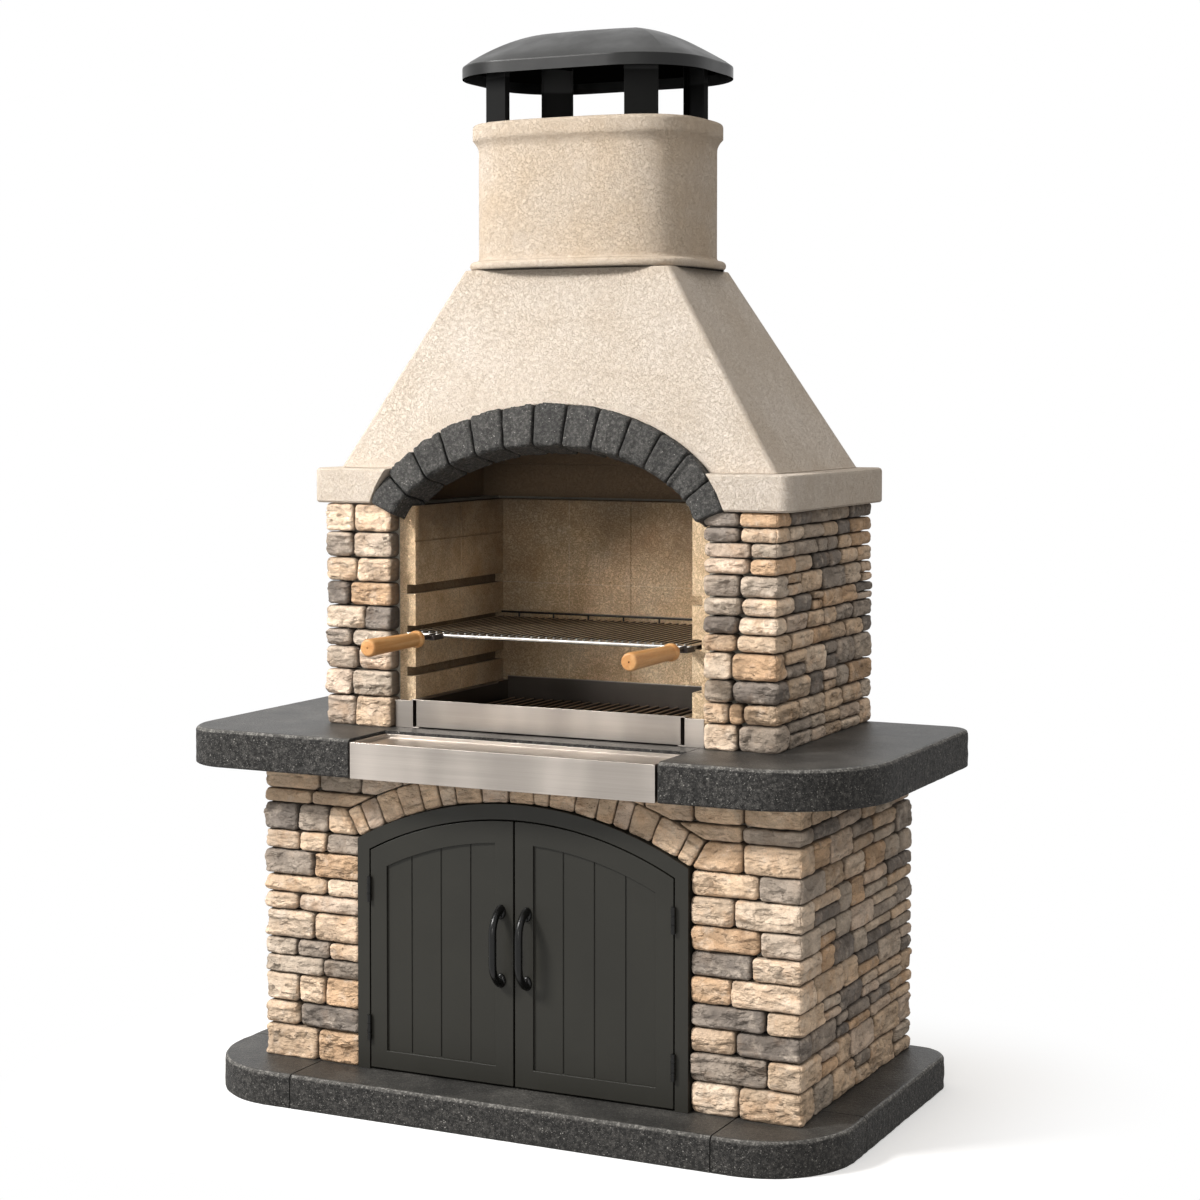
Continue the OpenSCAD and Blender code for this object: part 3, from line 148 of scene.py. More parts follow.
class Nodes:
    """A node tree, with short calls for the nodes that the trees here share."""

    def __init__(self, tree):
        self.tree = tree

    def node(self, kind, *inputs, **more):
        """A new node. inputs feed its sockets in order; more feeds sockets and sets values by name."""
        made = self.tree.nodes.new("ShaderNode" + kind)
        for socket, value in zip(made.inputs, inputs):
            self.feed(socket, value)
        for key, value in more.items():
            if key in made.inputs:
                self.feed(made.inputs[key], value)
            else:
                setattr(made, key, value)
        return made

    def feed(self, socket, value):
        value = srgb(value) if isinstance(value, str) else value
        value = value.socket if isinstance(value, Value) else value
        if isinstance(value, bpy.types.NodeSocket):
            self.tree.links.new(value, socket)
        else:
            socket.default_value = value

    def math(self, operation, a, b=0.0):
        return Value(self, self.node("Math", a, b, operation=operation).outputs[0])

    def vector(self, operation, *inputs):
        made = self.node("VectorMath", *inputs, operation=operation)
        return made.outputs["Value" if operation in ("DOT_PRODUCT", "LENGTH") else "Vector"]

    def most(self, first, *others):
        for other in others:
            first = self.math("MAXIMUM", first, other)
        return first

    def parts(self, whole, kind="XYZ"):
        """The three numbers of a place, a direction or a colour."""
        return [Value(self, out) for out in self.node("Separate" + kind, whole).outputs]

    def band(self, value, low, high, to_low=0.0, to_high=1.0):
        """Value from low to high, spread smoothly over to_low to to_high."""
        made = self.node("MapRange", value, low, high, to_low, to_high, interpolation_type="SMOOTHSTEP")
        return Value(self, made.outputs[0])

    def seen_rays(self):
        """1 for a camera, glossy or transmission ray."""
        rays = self.node("LightPath").outputs
        kinds = ("Is Camera Ray", "Is Glossy Ray", "Is Transmission Ray")
        return self.most(*(Value(self, rays[kind]) for kind in kinds))


class Shader(Nodes):
    """The nodes of a material, round its Principled shader."""

    def __init__(self, name, roughness=0.8, metallic=0.0):
        self.material = bpy.data.materials.new(name)
        self.material.use_nodes = True
        super().__init__(self.material.node_tree)
        self.bsdf = self.tree.nodes["Principled BSDF"]
        self.bsdf.inputs["Roughness"].default_value = roughness
        self.bsdf.inputs["Metallic"].default_value = metallic
        self.place = self.node("TexCoord").outputs["Object"]

    def attribute(self, name, output):
        """A value that the mesh holds for each of its corners."""
        return Value(self, self.node("Attribute", attribute_name=name).outputs[output])

    def axis(self, number):
        """One coordinate of the place on the object."""
        return self.parts(self.place)[number]

    def facing(self, number):
        """One coordinate of the direction that the face looks to."""
        return self.parts(self.node("NewGeometry").outputs["Normal"])[number]

    def outwardness(self, centre):
        """Above 0 where a face looks away from the upright axis through centre, below 0 where it
        looks back to it."""
        x, y, _ = self.parts(self.stretch((1.0, 1.0, 1.0), (-centre[0], -centre[1], 0.0)))
        return x * self.facing(0) + y * self.facing(1)

    def near(self, value, level, width):
        """1 where value is at level, down to 0 at width from it."""
        return self.band(abs(value - level), 0.0, width, 1.0, 0.0)

    def stretch(self, scale, offset=None):
        """The place on the object times scale for each axis, moved by offset."""
        scaled = self.vector("MULTIPLY", self.place, scale)
        return scaled if offset is None else self.vector("ADD", scaled, offset)

    def noise(self, scale, detail=4.0, rough=0.55, at=None, distort=0.0):
        made = self.node("TexNoise", Vector=at or self.place, Scale=scale, Detail=detail,
                         Roughness=rough, Distortion=distort)
        return Value(self, made.outputs["Fac"])

    def cells(self, scale):
        """Distance to the nearest of many scattered points."""
        return self.node("TexVoronoi", Vector=self.place, Scale=scale).outputs["Distance"]

    def facets(self, at):
        """Height of flat chips, each tilted its own way; at is the place in chips."""
        made = self.node("TexVoronoi", Vector=at, Scale=1.0)
        off = self.vector("SUBTRACT", at, made.outputs["Position"])
        lean = self.vector("SUBTRACT", made.outputs["Color"], (0.5, 0.5, 0.5))
        return self.vector("DOT_PRODUCT", off, lean)

    def shaken(self, at, scale, amount):
        """The place at, moved about by noise."""
        made = self.node("TexNoise", Vector=at, Scale=scale, Detail=3.0)
        return self.vector("MULTIPLY_ADD", made.outputs["Color"], (amount, amount, amount), at)

    def ramp(self, value, *stops):
        """The colour at value between stops of (value, colour)."""
        made = self.node("ValToRGB", value)
        elements = made.color_ramp.elements
        while len(elements) < len(stops):
            elements.new(0.5)
        for element, (place, code) in zip(elements, stops):
            element.position = place
            element.color = srgb(code)
        return made.outputs[0]

    def mix(self, share, a, b, blend="MIX"):
        made = self.node("Mix", share, data_type="RGBA", blend_type=blend)
        self.feed(made.inputs[6], a)
        self.feed(made.inputs[7], b)
        return made.outputs[2]

    def shade(self, colour, value, *span):
        """The colour times a value, which is first spread as band does where a span is given."""
        value = self.band(value, *span) if span else value
        return self.mix(1.0, colour, self.node("CombineColor", value, value, value).outputs[0], "MULTIPLY")

    def bumps(self, *layers):
        """Layers of (height, depth in millimetres) on top of each other."""
        normal = None
        for height, depth in layers:
            made = self.node("Bump", Height=height, Distance=depth * MM, Strength=1.0)
            if normal is not None:
                self.feed(made.inputs["Normal"], normal)
            normal = made.outputs[0]
        self.feed(self.bsdf.inputs["Normal"], normal)

    def finish(self, colour, roughness=None):
        self.feed(self.bsdf.inputs["Base Color"], colour)
        if roughness is not None:
            self.feed(self.bsdf.inputs["Roughness"], roughness)
        return self.material


# Sides of the plinth and the seams between its slabs
PLINTH = {"x0": -0.735, "x1": 0.707, "y0": -0.454, "y1": 0.350, "seam_x": 0.478, "seam_y": -0.203}

# Places of the stone tones along the palette
TONES = {"D": 0.05, "G": 0.2, "S": 0.35, "P": 0.5, "T": 0.65, "C": 0.8, "O": 0.95}
STONE_COLOURS = [
    (0.0, "#7c7269"), (0.05, "#8f857c"), (0.2, "#b5a697"), (0.35, "#d0bfac"),
    (0.5, "#e8d0ba"), (0.65, "#e8caaa"), (0.8, "#f2dcc4"), (0.95, "#dcb894"),
]


def stone_material(name):
    """Split stone: the tone of each stone from its mesh, flaked in steps. Painted light lies on the parts
    that stand out, and painted shade on sunk parts, along the edges of the steps, in the joints and
    recesses and, through the tone, on the side faces."""
    s = Shader(name, roughness=0.9)
    palette, light, seed = s.parts(s.attribute("tone", "Color"), "Color")
    shift = s.node("CombineXYZ", seed * 31.0, seed * 17.0, seed * 53.0).outputs[0]
    at = s.stretch((1.0, 1.0, 1.0), shift)
    base = s.ramp(palette + (s.noise(14.0, 3.0, at=at) - 0.5) * 0.26, *STONE_COLOURS)
    warm = s.band(s.noise(22.0, 4.0, 0.6, at=at), 0.5, 0.7, 0.0, 0.5)
    colour = s.mix(warm * s.band(palette, 0.25, 0.55, 0.25, 1.0), base, "#cfa680")
    pale = s.band(s.noise(34.0, 5.0, 0.62, at=at), 0.52, 0.74, 0.0, 0.5)
    colour = s.mix(pale, colour, "#f5e4d2")
    flakes = s.noise(1.0, 3.0, 0.5, at=s.stretch((17.0, 17.0, 42.0), shift), distort=0.4)
    level = flakes * 7.0
    part = s.math("FRACT", level)
    steps = s.math("FLOOR", level) + s.band(part, 0.22, 0.78)
    # Dark lines along the edges of the flaked steps: painted shadow of the steps.
    rim = s.band(abs(part - 0.5), 0.0, 0.12, 1.0, 0.0)
    rim = rim * s.band(s.noise(40.0, 2.0, at=at), 0.45, 0.62, 0.0, 0.18)
    colour = s.mix(rim, colour, "#6f5136")
    grain = s.noise(430.0, 3.0, 0.7, at=at)
    colour = s.shade(colour, grain, 0.25, 0.75, 0.84, 1.1)
    # The lightness from the tone is random for each stone, times painted shade on the side faces.
    colour = s.shade(colour, light)
    # Lighter where the stone stands out and darker where it is sunk: painted light and painted shade.
    colour = s.shade(colour, s.attribute("tone", "Alpha"), 0.3, 0.8, 0.8, 1.1)
    # Near black in the joints, at the rounded edges and in the grooves: painted shade.
    colour = s.mix(s.attribute("hollow", "Fac") * 0.9, colour, "#1f1812")
    chips = s.facets(s.shaken(s.stretch((30.0, 30.0, 52.0), shift), 1.3, 1.7))
    s.bumps((steps, 0.8), (chips, 15.0), (s.noise(80.0, 4.0, 0.55, at=at), 1.8), (grain, 0.5))
    return s.finish(colour)


def slab_material(name):
    """Dark cast slab: fine and even on top, rough and full of pale chips on its edges."""
    s = Shader(name, roughness=0.6)
    s.bsdf.inputs["IOR"].default_value = 1.36
    rise = s.facing(2)
    top = s.band(rise, 0.6, 0.95)
    dust = s.noise(260.0, 4.0, 0.75)
    blend = s.noise(9.0, 5.0, 0.6) * 0.4 + dust * 0.6
    top_colour = s.ramp(blend, (0.36, "#1f1f1e"), (0.5, "#393836"), (0.64, "#5c5a56"))
    rough = s.noise(120.0, 5.0, 0.75)
    edge_colour = s.ramp(rough, (0.32, "#131312"), (0.5, "#302f2e"), (0.68, "#5a5855"))
    colour = s.mix(top, edge_colour, top_colour)
    chips = s.band(s.cells(140.0), 0.0, 0.3, 1.0, 0.0) * s.band(s.noise(70.0, 2.0), 0.52, 0.6)
    flecks = s.band(s.noise(380.0, 2.0, 0.8), 0.62, 0.7)
    light = s.most(chips, flecks * 0.7) * s.band(top, 0.0, 1.0, 0.85, 0.4)
    arris = s.band(rise, 0.2, 0.5) * s.band(rise, 0.85, 0.97, 1.0, 0.0)
    arris = arris * s.band(s.noise(150.0, 4.0, 0.7), 0.48, 0.64, 0.1, 0.5)
    colour = s.mix(s.most(light, arris), colour, "#b9b6b0")
    # Near black along the seams between the plinth's slabs: painted shade in the seams.
    x, y, z = s.parts(s.place)
    seam_x, seam_y, reach = PLINTH["seam_x"], PLINTH["seam_y"], 3 * MM
    side = s.near(abs(x), seam_x, reach)
    back = s.near(y, seam_y, reach) * s.band(abs(x), seam_x - 1 * MM, seam_x)
    seam = s.most(side, back) * s.band(z, *HEIGHTS["seams"], 0.75, 0.0)
    colour = s.mix(seam, colour, "#0b0b0a")
    pits = s.noise(95.0, 4.0, 0.65) * s.band(top, 0.0, 1.0, 1.0, 0.18)
    s.bumps((pits, 7.0), (dust, 0.6))
    return s.finish(colour, s.band(top, 0.0, 1.0, 0.8, 0.44))


def plaster_material(name):
    """Trowelled beige plaster with a worm-like grain of a few millimetres, weathered on the chimney, with
    painted shade on its inside faces, darker towards the top."""
    s = Shader(name, roughness=0.92)
    patches = s.noise(6.0, 6.0, 0.65)
    colour = s.ramp(patches, (0.3, "#d2c4b4"), (0.5, "#d8ccbe"), (0.7, "#ded3c7"))
    worms = s.band(abs(s.noise(170.0, 2.0, 0.5, distort=1.4) - 0.5), 0.0, 0.05)
    colour = s.mix((1.0 - worms) * 0.34, colour, "#bba07f")
    weather = s.band(s.noise(7.0, 5.0, 0.6), 0.3, 0.7, 0.25, 0.6)
    colour = s.mix(s.band(s.axis(2), *HEIGHTS["weather"]) * weather, colour, "#c9b193")
    grains = s.noise(420.0, 3.0, 0.7)
    colour = s.shade(colour, grains, 0.28, 0.72, 0.9, 1.05)
    colour = s.mix(s.band(s.noise(260.0, 2.0, 0.75), 0.67, 0.75, 0.0, 0.5), colour, "#a98e6c")
    # Faces inside the hood and cornice, behind their front, get painted shade: browner low down, near
    # black high up.
    inside = s.band(s.outwardness((0.0, FLUE_Y)), -0.04, -0.01, 0.92, 0.0)
    hood_inner_shade = s.mix(s.band(s.axis(2), *HEIGHTS["hood_inner_shade"]), "#6e583e", "#241c15")
    colour = s.mix(inside * s.band(s.axis(1), *FRONTS["hood"]), colour, hood_inner_shade)
    s.bumps((worms, 0.75), (s.noise(110.0, 3.0), 0.7), (grains, 0.5))
    return s.finish(colour)


def brick_material(name):
    """Cast firebrick: warm and grainy, with faint joints, and with painted shade in its slots, in the left
    back corner and towards the hood."""
    s = Shader(name, roughness=0.92)
    patches = s.noise(9.0, 6.0, 0.65)
    colour = s.ramp(patches, (0.3, "#d8b68e"), (0.5, "#edd0aa"), (0.7, "#f6e0c0"))
    worms = s.band(abs(s.noise(130.0, 2.0, 0.5, distort=1.2) - 0.5), 0.0, 0.1)
    colour = s.mix((1.0 - worms) * 0.5, colour, "#9c7d58")
    grains = s.noise(420.0, 3.0, 0.75)
    colour = s.shade(colour, grains, 0.28, 0.72, 0.8, 1.08)
    colour = s.mix(s.band(s.noise(200.0, 2.0, 0.7), 0.64, 0.73, 0.0, 0.6), colour, "#6b5234")
    x, y, z = s.parts(s.place)
    joint = 1.6 * MM
    at_x, at_y, at_z = BRICK_JOINTS
    to_front = s.band(abs(s.facing(1)), 0.5, 0.9)
    across = s.near(x, at_x, joint) * to_front
    level = s.near(z, at_z, joint) * to_front
    along = s.near(y, at_y, joint) * s.band(abs(s.facing(0)), 0.5, 0.9)
    joints = s.most(across, level, along) * s.band(s.noise(14.0, 3.0), 0.34, 0.5)
    colour = s.mix(joints * 0.5, colour, "#fff0d8")
    # Painted shade in the slots of the side liners.
    slot_shade = s.band(abs(x), LINER_FACE + 2 * MM, LINER_FACE + 14 * MM, 0.0, 0.6)
    colour = s.mix(slot_shade * (1.0 - to_front), colour, "#2b2016")
    # Painted shade darkening the liners towards the top and in the left back corner, behind their front.
    cloud = (s.noise(5.0, 4.0, 0.6) - 0.5) * 0.25
    high = s.band(z + cloud, *HEIGHTS["liner_top_shade"], 0.0, 0.72)
    corner = s.band(x, -LINER_FACE, -0.12, 0.5, 0.0) * s.band(y, 0.0, 0.19)
    colour = s.mix(s.most(high, corner) * s.band(y, *FRONTS["liner"]), colour, "#33271c")
    s.bumps((worms - joints * 0.3, 1.1), (s.noise(60.0, 3.0), 1.2), (grains, 0.6))
    return s.finish(colour)


def concrete_material(name):
    """Plain cast concrete with faint shutter marks and pores."""
    s = Shader(name, roughness=0.9)
    colour = s.ramp(s.noise(6.0, 5.0, 0.6), (0.3, "#8f8a80"), (0.7, "#aaa498"))
    grains = s.noise(350.0, 3.0, 0.7)
    colour = s.shade(colour, grains, 0.3, 0.7, 0.86, 1.08)
    # The pores are painted darker as well as sunk: painted shade in them.
    pores = s.band(s.cells(90.0), 0.0, 0.14, 1.0, 0.0)
    colour = s.mix(pores * 0.6, colour, "#4c4842")
    s.bumps((1.0 - pores, 0.8), (grains, 0.3))
    return s.finish(colour)


def granite_material(name):
    """Dark pitted stone of the firebox arch, with pale flecks."""
    s = Shader(name, roughness=0.8)
    body = s.noise(150.0, 5.0, 0.75)
    colour = s.ramp(body, (0.34, "#191918"), (0.5, "#383735"), (0.66, "#5e5c59"))
    grains = s.noise(380.0, 3.0, 0.8)
    colour = s.shade(colour, grains, 0.3, 0.7, 0.6, 1.3)
    colour = s.shade(colour, s.parts(s.attribute("tone", "Color"), "Color")[1])
    flecks = s.band(s.cells(150.0), 0.0, 0.26, 1.0, 0.0) * s.band(s.noise(70.0, 2.0), 0.52, 0.58)
    colour = s.mix(flecks * 0.8, colour, "#b9b6b0")
    # Near black in the joints and at the rounded edges: painted shade.
    colour = s.mix(s.attribute("hollow", "Fac") * 0.85, colour, "#0b0b0a")
    s.bumps((s.noise(130.0, 5.0, 0.7), 3.6), (grains, 0.7))
    return s.finish(colour)


def paint_material(name, code, roughness, texture=0.12, painted_top_light=None):
    """Satin coat on metal, with an orange peel of texture millimetres and slightly uneven gloss. Given a
    colour for faces that look up, it is the cap's coat: that colour is painted light on its top, and the
    coat has no specular reflection on its underside and a weaker one below the cap's edge."""
    s = Shader(name, roughness=roughness)
    s.bsdf.inputs["IOR"].default_value = 1.38
    patches = s.noise(5.0, 4.0)
    colour = s.shade(code, patches, 0.3, 0.7, 0.93, 1.07)
    if painted_top_light:
        rise = s.facing(2)
        # Faces that look up are mixed towards the lighter colour: painted light on the cap's top.
        colour = s.mix(s.band(rise, 0.2, 0.7) * s.band(patches, 0.3, 0.7, 0.7, 1.0), colour, painted_top_light)
        clean = s.band(rise, -0.5, -0.2) * s.band(s.axis(2), *HEIGHTS["cap"], 0.3, 1.0)
        s.feed(s.bsdf.inputs["Specular IOR Level"], clean * 0.55)
    s.bumps((s.noise(700.0, 2.0), texture))
    return s.finish(colour, s.band(s.noise(14.0, 4.0), 0.3, 0.7, roughness - 0.05, roughness + 0.07))


def steel_material(name, code, along, roughness, stain_and_side_shade=0.0, metallic=1.0, inside=None):
    """Brushed steel with broad soft bands; along is the scale of the brushing for each axis, and inside is
    the middle of a tray whose inner faces get painted shade. Where stains are asked for, faces that do not
    look up get painted shade too."""
    s = Shader(name, roughness=roughness, metallic=metallic)
    lines = s.noise(1.0, 5.0, 0.7, at=s.stretch(along))
    bands = s.noise(1.0, 2.0, 0.5, at=s.stretch((6.5, 1.5, 1.5), (3.7, 0.0, 0.0)))
    colour = s.shade(code, lines, 0.25, 0.75, 0.9, 1.06)
    colour = s.shade(colour, bands, 0.3, 0.68, 0.7, 1.12)
    if stain_and_side_shade:
        marks = s.band(s.noise(9.0, 5.0, 0.65), 0.35, 0.7) * stain_and_side_shade
        colour = s.mix(marks, colour, "#4a3a2c")
        # Faces that look sideways or down are near black: painted shade.
        colour = s.mix(s.band(s.facing(2), 0.45, 0.85), "#14110e", colour)
    if inside:
        # Inner walls, bottom and flange of the tray below its rim are darkened: painted shade.
        walls = s.band(s.outwardness(inside), -0.03, -0.005, 1.0, 0.0)
        rise, y, z = s.facing(2), s.axis(1), s.axis(2)
        bottom = s.band(rise, 0.6, 0.9) * s.band(z, *HEIGHTS["tray"], 1.0, 0.0)
        back = s.band(y, 0.15, 0.16)
        below = s.band(z - back * TRAY_BACK_RISE, TRAY_RIM - 3 * MM, TRAY_RIM, 1.0, 0.3)
        flange = s.band(y, *FRONTS["tray"], 0.0, 0.95) * (1.0 - back)
        dark = s.most(s.most(walls, bottom) * below, s.band(rise, 0.3, 0.8) * flange)
        colour = s.mix(dark * 0.84, colour, "#35302b")
    s.bumps((lines, 0.1))
    return s.finish(colour, s.band(lines, 0.3, 0.7, roughness - 0.06, roughness + 0.1))


def wire_material(name):
    """Grate steel: bright at its front edge and scorched brown behind it, with painted shade where it
    looks sideways or down."""
    s = Shader(name, roughness=0.4)
    marks = s.noise(60.0, 4.0, 0.6)
    burnt_and_side_shade = s.ramp(marks, (0.3, "#9c856d"), (0.7, "#dcc8ab"))
    # Faces that look sideways or down are near black: painted shade.
    burnt_and_side_shade = s.mix(s.band(s.facing(2), 0.45, 0.85), "#17120e", burnt_and_side_shade)
    bright = s.ramp(marks, (0.35, "#93908b"), (0.65, "#b2b0ab"))
    behind = s.band(s.axis(1), GRATE_FRONT + 7 * MM, GRATE_FRONT + 20 * MM)
    s.feed(s.bsdf.inputs["Metallic"], 0.9 - behind * 0.5)
    s.bumps((s.noise(500.0, 2.0), 0.1))
    return s.finish(s.mix(behind, bright, burnt_and_side_shade), s.band(marks, 0.3, 0.7, 0.34, 0.5))


def wood_material(name):
    """Clear lacquered light wood, grain along Y."""
    s = Shader(name, roughness=0.38)
    rings = s.noise(1.0, 4.0, 0.6, at=s.stretch((70.0, 4.0, 70.0)), distort=0.6)
    colour = s.ramp(rings, (0.3, "#b9793f"), (0.5, "#cd945a"), (0.7, "#dbab74"))
    pores = s.noise(1.0, 3.0, 0.7, at=s.stretch((900.0, 60.0, 900.0)))
    s.bumps((pores, 0.15))
    return s.finish(s.shade(colour, pores, 0.3, 0.7, 0.88, 1.05))


ALONG_X = (2.0, 60.0, 900.0)
LOOKS = {
    "split_stone": (stone_material,),
    "dark_slab": (slab_material,),
    "render": (plaster_material,),
    "firebrick": (brick_material,),
    "concrete": (concrete_material,),
    "dark_granite": (granite_material,),
    "door_paint": (paint_material, "#282722", 0.46),
    "black_iron": (paint_material, "#0c0c0b", 0.26, 0.03),
    "cap_paint": (paint_material, "#0c0c0b", 0.36, 0.12, "#2e2e2d"),
    "fork_iron": (paint_material, "#2e2825", 0.45),
    "stainless": (steel_material, "#c4bbb2", ALONG_X, 0.36),
    "scorched_steel": (steel_material, "#8a745f", (60.0, 4.0, 60.0), 0.5, 0.6, 0.3),
    "bright_wire": (wire_material,),
    "light_wood": (wood_material,),
}
MATERIALS = {name: make(name, *values) for name, (make, *values) in LOOKS.items()}
MATERIALS["tan_arch_stone"] = MATERIALS["split_stone"]
TRAY_STEEL = steel_material("tray_steel", "#bcb3aa", ALONG_X, 0.36, inside=TRAY_MIDDLE)
SLOT_OF = {part["node"]: part["material_slot"] for part in frame["record"]["subparts"]}


# Pieces

def new_object(name, data):
    made = bpy.data.objects.new(name, data)
    bpy.context.scene.collection.objects.link(made)
    return made


def piece(name, mesh, slot, stands_for, body="root"):
    """A new piece on a body, with its slot's material, that stands for CAD nodes."""
    made = new_object(name, mesh)
    mesh.materials.clear()
    mesh.materials.append(MATERIALS[slot])
    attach(made, body)
    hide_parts(*stands_for)
    return made


def mesh_of(name, points, faces):
    mesh = bpy.data.meshes.new(name)
    mesh.from_pydata([tuple(p) for p in points], [], faces)
    mesh.validate()
    mesh.polygons.foreach_set("use_smooth", [True] * len(mesh.polygons))
    return mesh


def soften(made, bevel=0.0, angle=30.0):
    """Rounds the sharp edges of a piece and keeps its flat faces flat in the shading."""
    if bevel:
        cut = made.modifiers.new("edges", "BEVEL")
        cut.width = bevel
        cut.segments = 2
        cut.limit_method = "ANGLE"
        cut.angle_limit = math.radians(angle)
    even = made.modifiers.new("shading", "WEIGHTED_NORMAL")
    even.keep_sharp = True
    even.weight = 80
    return made


def refined(node, body="root", bevel=0.8 * MM, angle=30.0):
    """A CAD node's own shape with its corners joined and its edges rounded, as a piece that stands
    for it."""
    form = bmesh.new()
    form.from_mesh(NODES[node].data)
    bmesh.ops.remove_doubles(form, verts=form.verts, dist=0.01 * MM)
    flat = math.radians(1.0)
    bmesh.ops.dissolve_limit(form, angle_limit=flat, verts=form.verts, edges=form.edges)
    mesh = bpy.data.meshes.new(node + "_mesh")
    form.to_mesh(mesh)
    form.free()
    mesh.polygons.foreach_set("use_smooth", [True] * len(mesh.polygons))
    return soften(piece(node + "_look", mesh, SLOT_OF[node], [node], body), bevel, angle)


def islands(node):
    """Corner arrays of the separate solids in a CAD node."""
    data = NODES[node].data
    points = np.empty(len(data.vertices) * 3)
    data.vertices.foreach_get("co", points)
    points = points.reshape(-1, 3)
    cells = np.round(points / (0.02 * MM)).astype(np.int64)
    same = np.unique(cells, axis=0, return_inverse=True)[1].ravel()
    parent = list(range(same.max() + 1))

    def root(i):
        while parent[i] != i:
            parent[i] = parent[parent[i]]
            i = parent[i]
        return i

    for polygon in data.polygons:
        corners = [root(same[v]) for v in polygon.vertices]
        for other in corners[1:]:
            parent[root(other)] = root(corners[0])
    groups = {}
    for vertex, key in enumerate(same):
        groups.setdefault(root(key), []).append(vertex)
    return [points[g] for g in groups.values()]


def arc(steps, first=0.0, last=math.pi / 2):
    """Cosine and sine at even steps from the first angle to the last."""
    angles = [first + (last - first) * k / steps for k in range(steps + 1)]
    return [(math.cos(a), math.sin(a)) for a in angles]


def circle(count):
    return arc(count, 0.0, math.tau)[:-1]


def ring_faces(count, rings, start=0, closed=False, turned=False):
    """Faces between rings of count corners each, the first of them being corner start. closed joins
    the last ring to the first, and turned makes the faces look the other way."""
    faces = []
    for r in range(rings if closed else rings - 1):
        a, b = start + r * count, start + (r + 1) % rings * count
        for k in range(count):
            n = (k + 1) % count
            faces.append((a + k, b + k, b + n, a + n) if turned else (a + k, a + n, b + n, b + k))
    return faces


# Stones

class StoneGroup:
    """Collects the faces of many stones in one mesh, with the tone of each and its painted shade in
    joints, at rounded edges and in grooves.
    """

    def __init__(self):
        self.points, self.tones, self.hollows, self.faces = [], [], [], []
        self.count = 0

    def add(self, points, hollow, proud_light_and_shade, tone, outward):
        """points is a grid of corners; outward is a direction that its faces look to."""
        rows, columns = points.shape[:2]
        i, j = rows // 2, columns // 2
        mid = points[i, j]
        flip = np.dot(np.cross(points[i + 1, j] - mid, points[i, j + 1] - mid), outward) < 0
        index = self.count + np.arange(rows * columns).reshape(rows, columns)
        quad = np.stack([index[:-1, :-1], index[1:, :-1], index[1:, 1:], index[:-1, 1:]], -1)
        quad = quad.reshape(-1, 4)
        self.faces.append(quad[:, ::-1] if flip else quad)
        self.points.append(points.reshape(-1, 3))
        # Each corner's darkness is painted shade in the joints, at rounded edges and in grooves; its
        # relief value gives painted light where the stone stands out and painted shade where it is sunk.
        self.hollows.append(hollow.ravel())
        self.tones.append(np.column_stack([np.tile(tone, (rows * columns, 1)), proud_light_and_shade.ravel()]))
        self.count += rows * columns

    def mesh(self, name):
        mesh = mesh_of(name, np.vstack(self.points), np.vstack(self.faces).tolist())
        tone = mesh.attributes.new("tone", "FLOAT_COLOR", "POINT")
        tone.data.foreach_set("color", np.vstack(self.tones).ravel())
        hollow = mesh.attributes.new("hollow", "FLOAT", "POINT")
        hollow.data.foreach_set("value", np.concatenate(self.hollows))
        return mesh


# Distances in mm at which a stone gets extra corners: from its ends, and to both sides of a corner
FROM_END = np.array((0.0, 0.5, 1.6, 3.4, 5.8, 9.0, 13.0))
ROUND_CORNER = (-16, -11, -7, -4, -1.8, 0, 1.8, 4, 7, 11, 16)
SMALL_SIDE = 0.42


def grid_line(length, step, breaks=(), ends=True):
    """Places along a stone: close together at its ends and at its corners, even between them."""
    near = FROM_END * MM
    near = near[near < SMALL_SIDE * length]
    marks = set(near.tolist() + (length - near).tolist()) if ends else {0.0, length}
    for corner in breaks:
        marks |= {corner + d * MM for d in ROUND_CORNER if 0 < corner + d * MM < length}
    marks = sorted(marks)
    line = [marks[0]]
    for a, b in zip(marks, marks[1:]):
        if b - a < 0.2 * MM:
            continue
        count = max(1, round((b - a) / step))
        line += [a + (b - a) * k / count for k in range(1, count + 1)]
    return np.array(line)


def terraces(value, count):
    """Value from -1 to 1, flattened into steps with short slopes between them."""
    level = value * count
    low = np.floor(level)
    return (low + smooth((level - low - 0.5) / 0.24 + 0.5)) / count


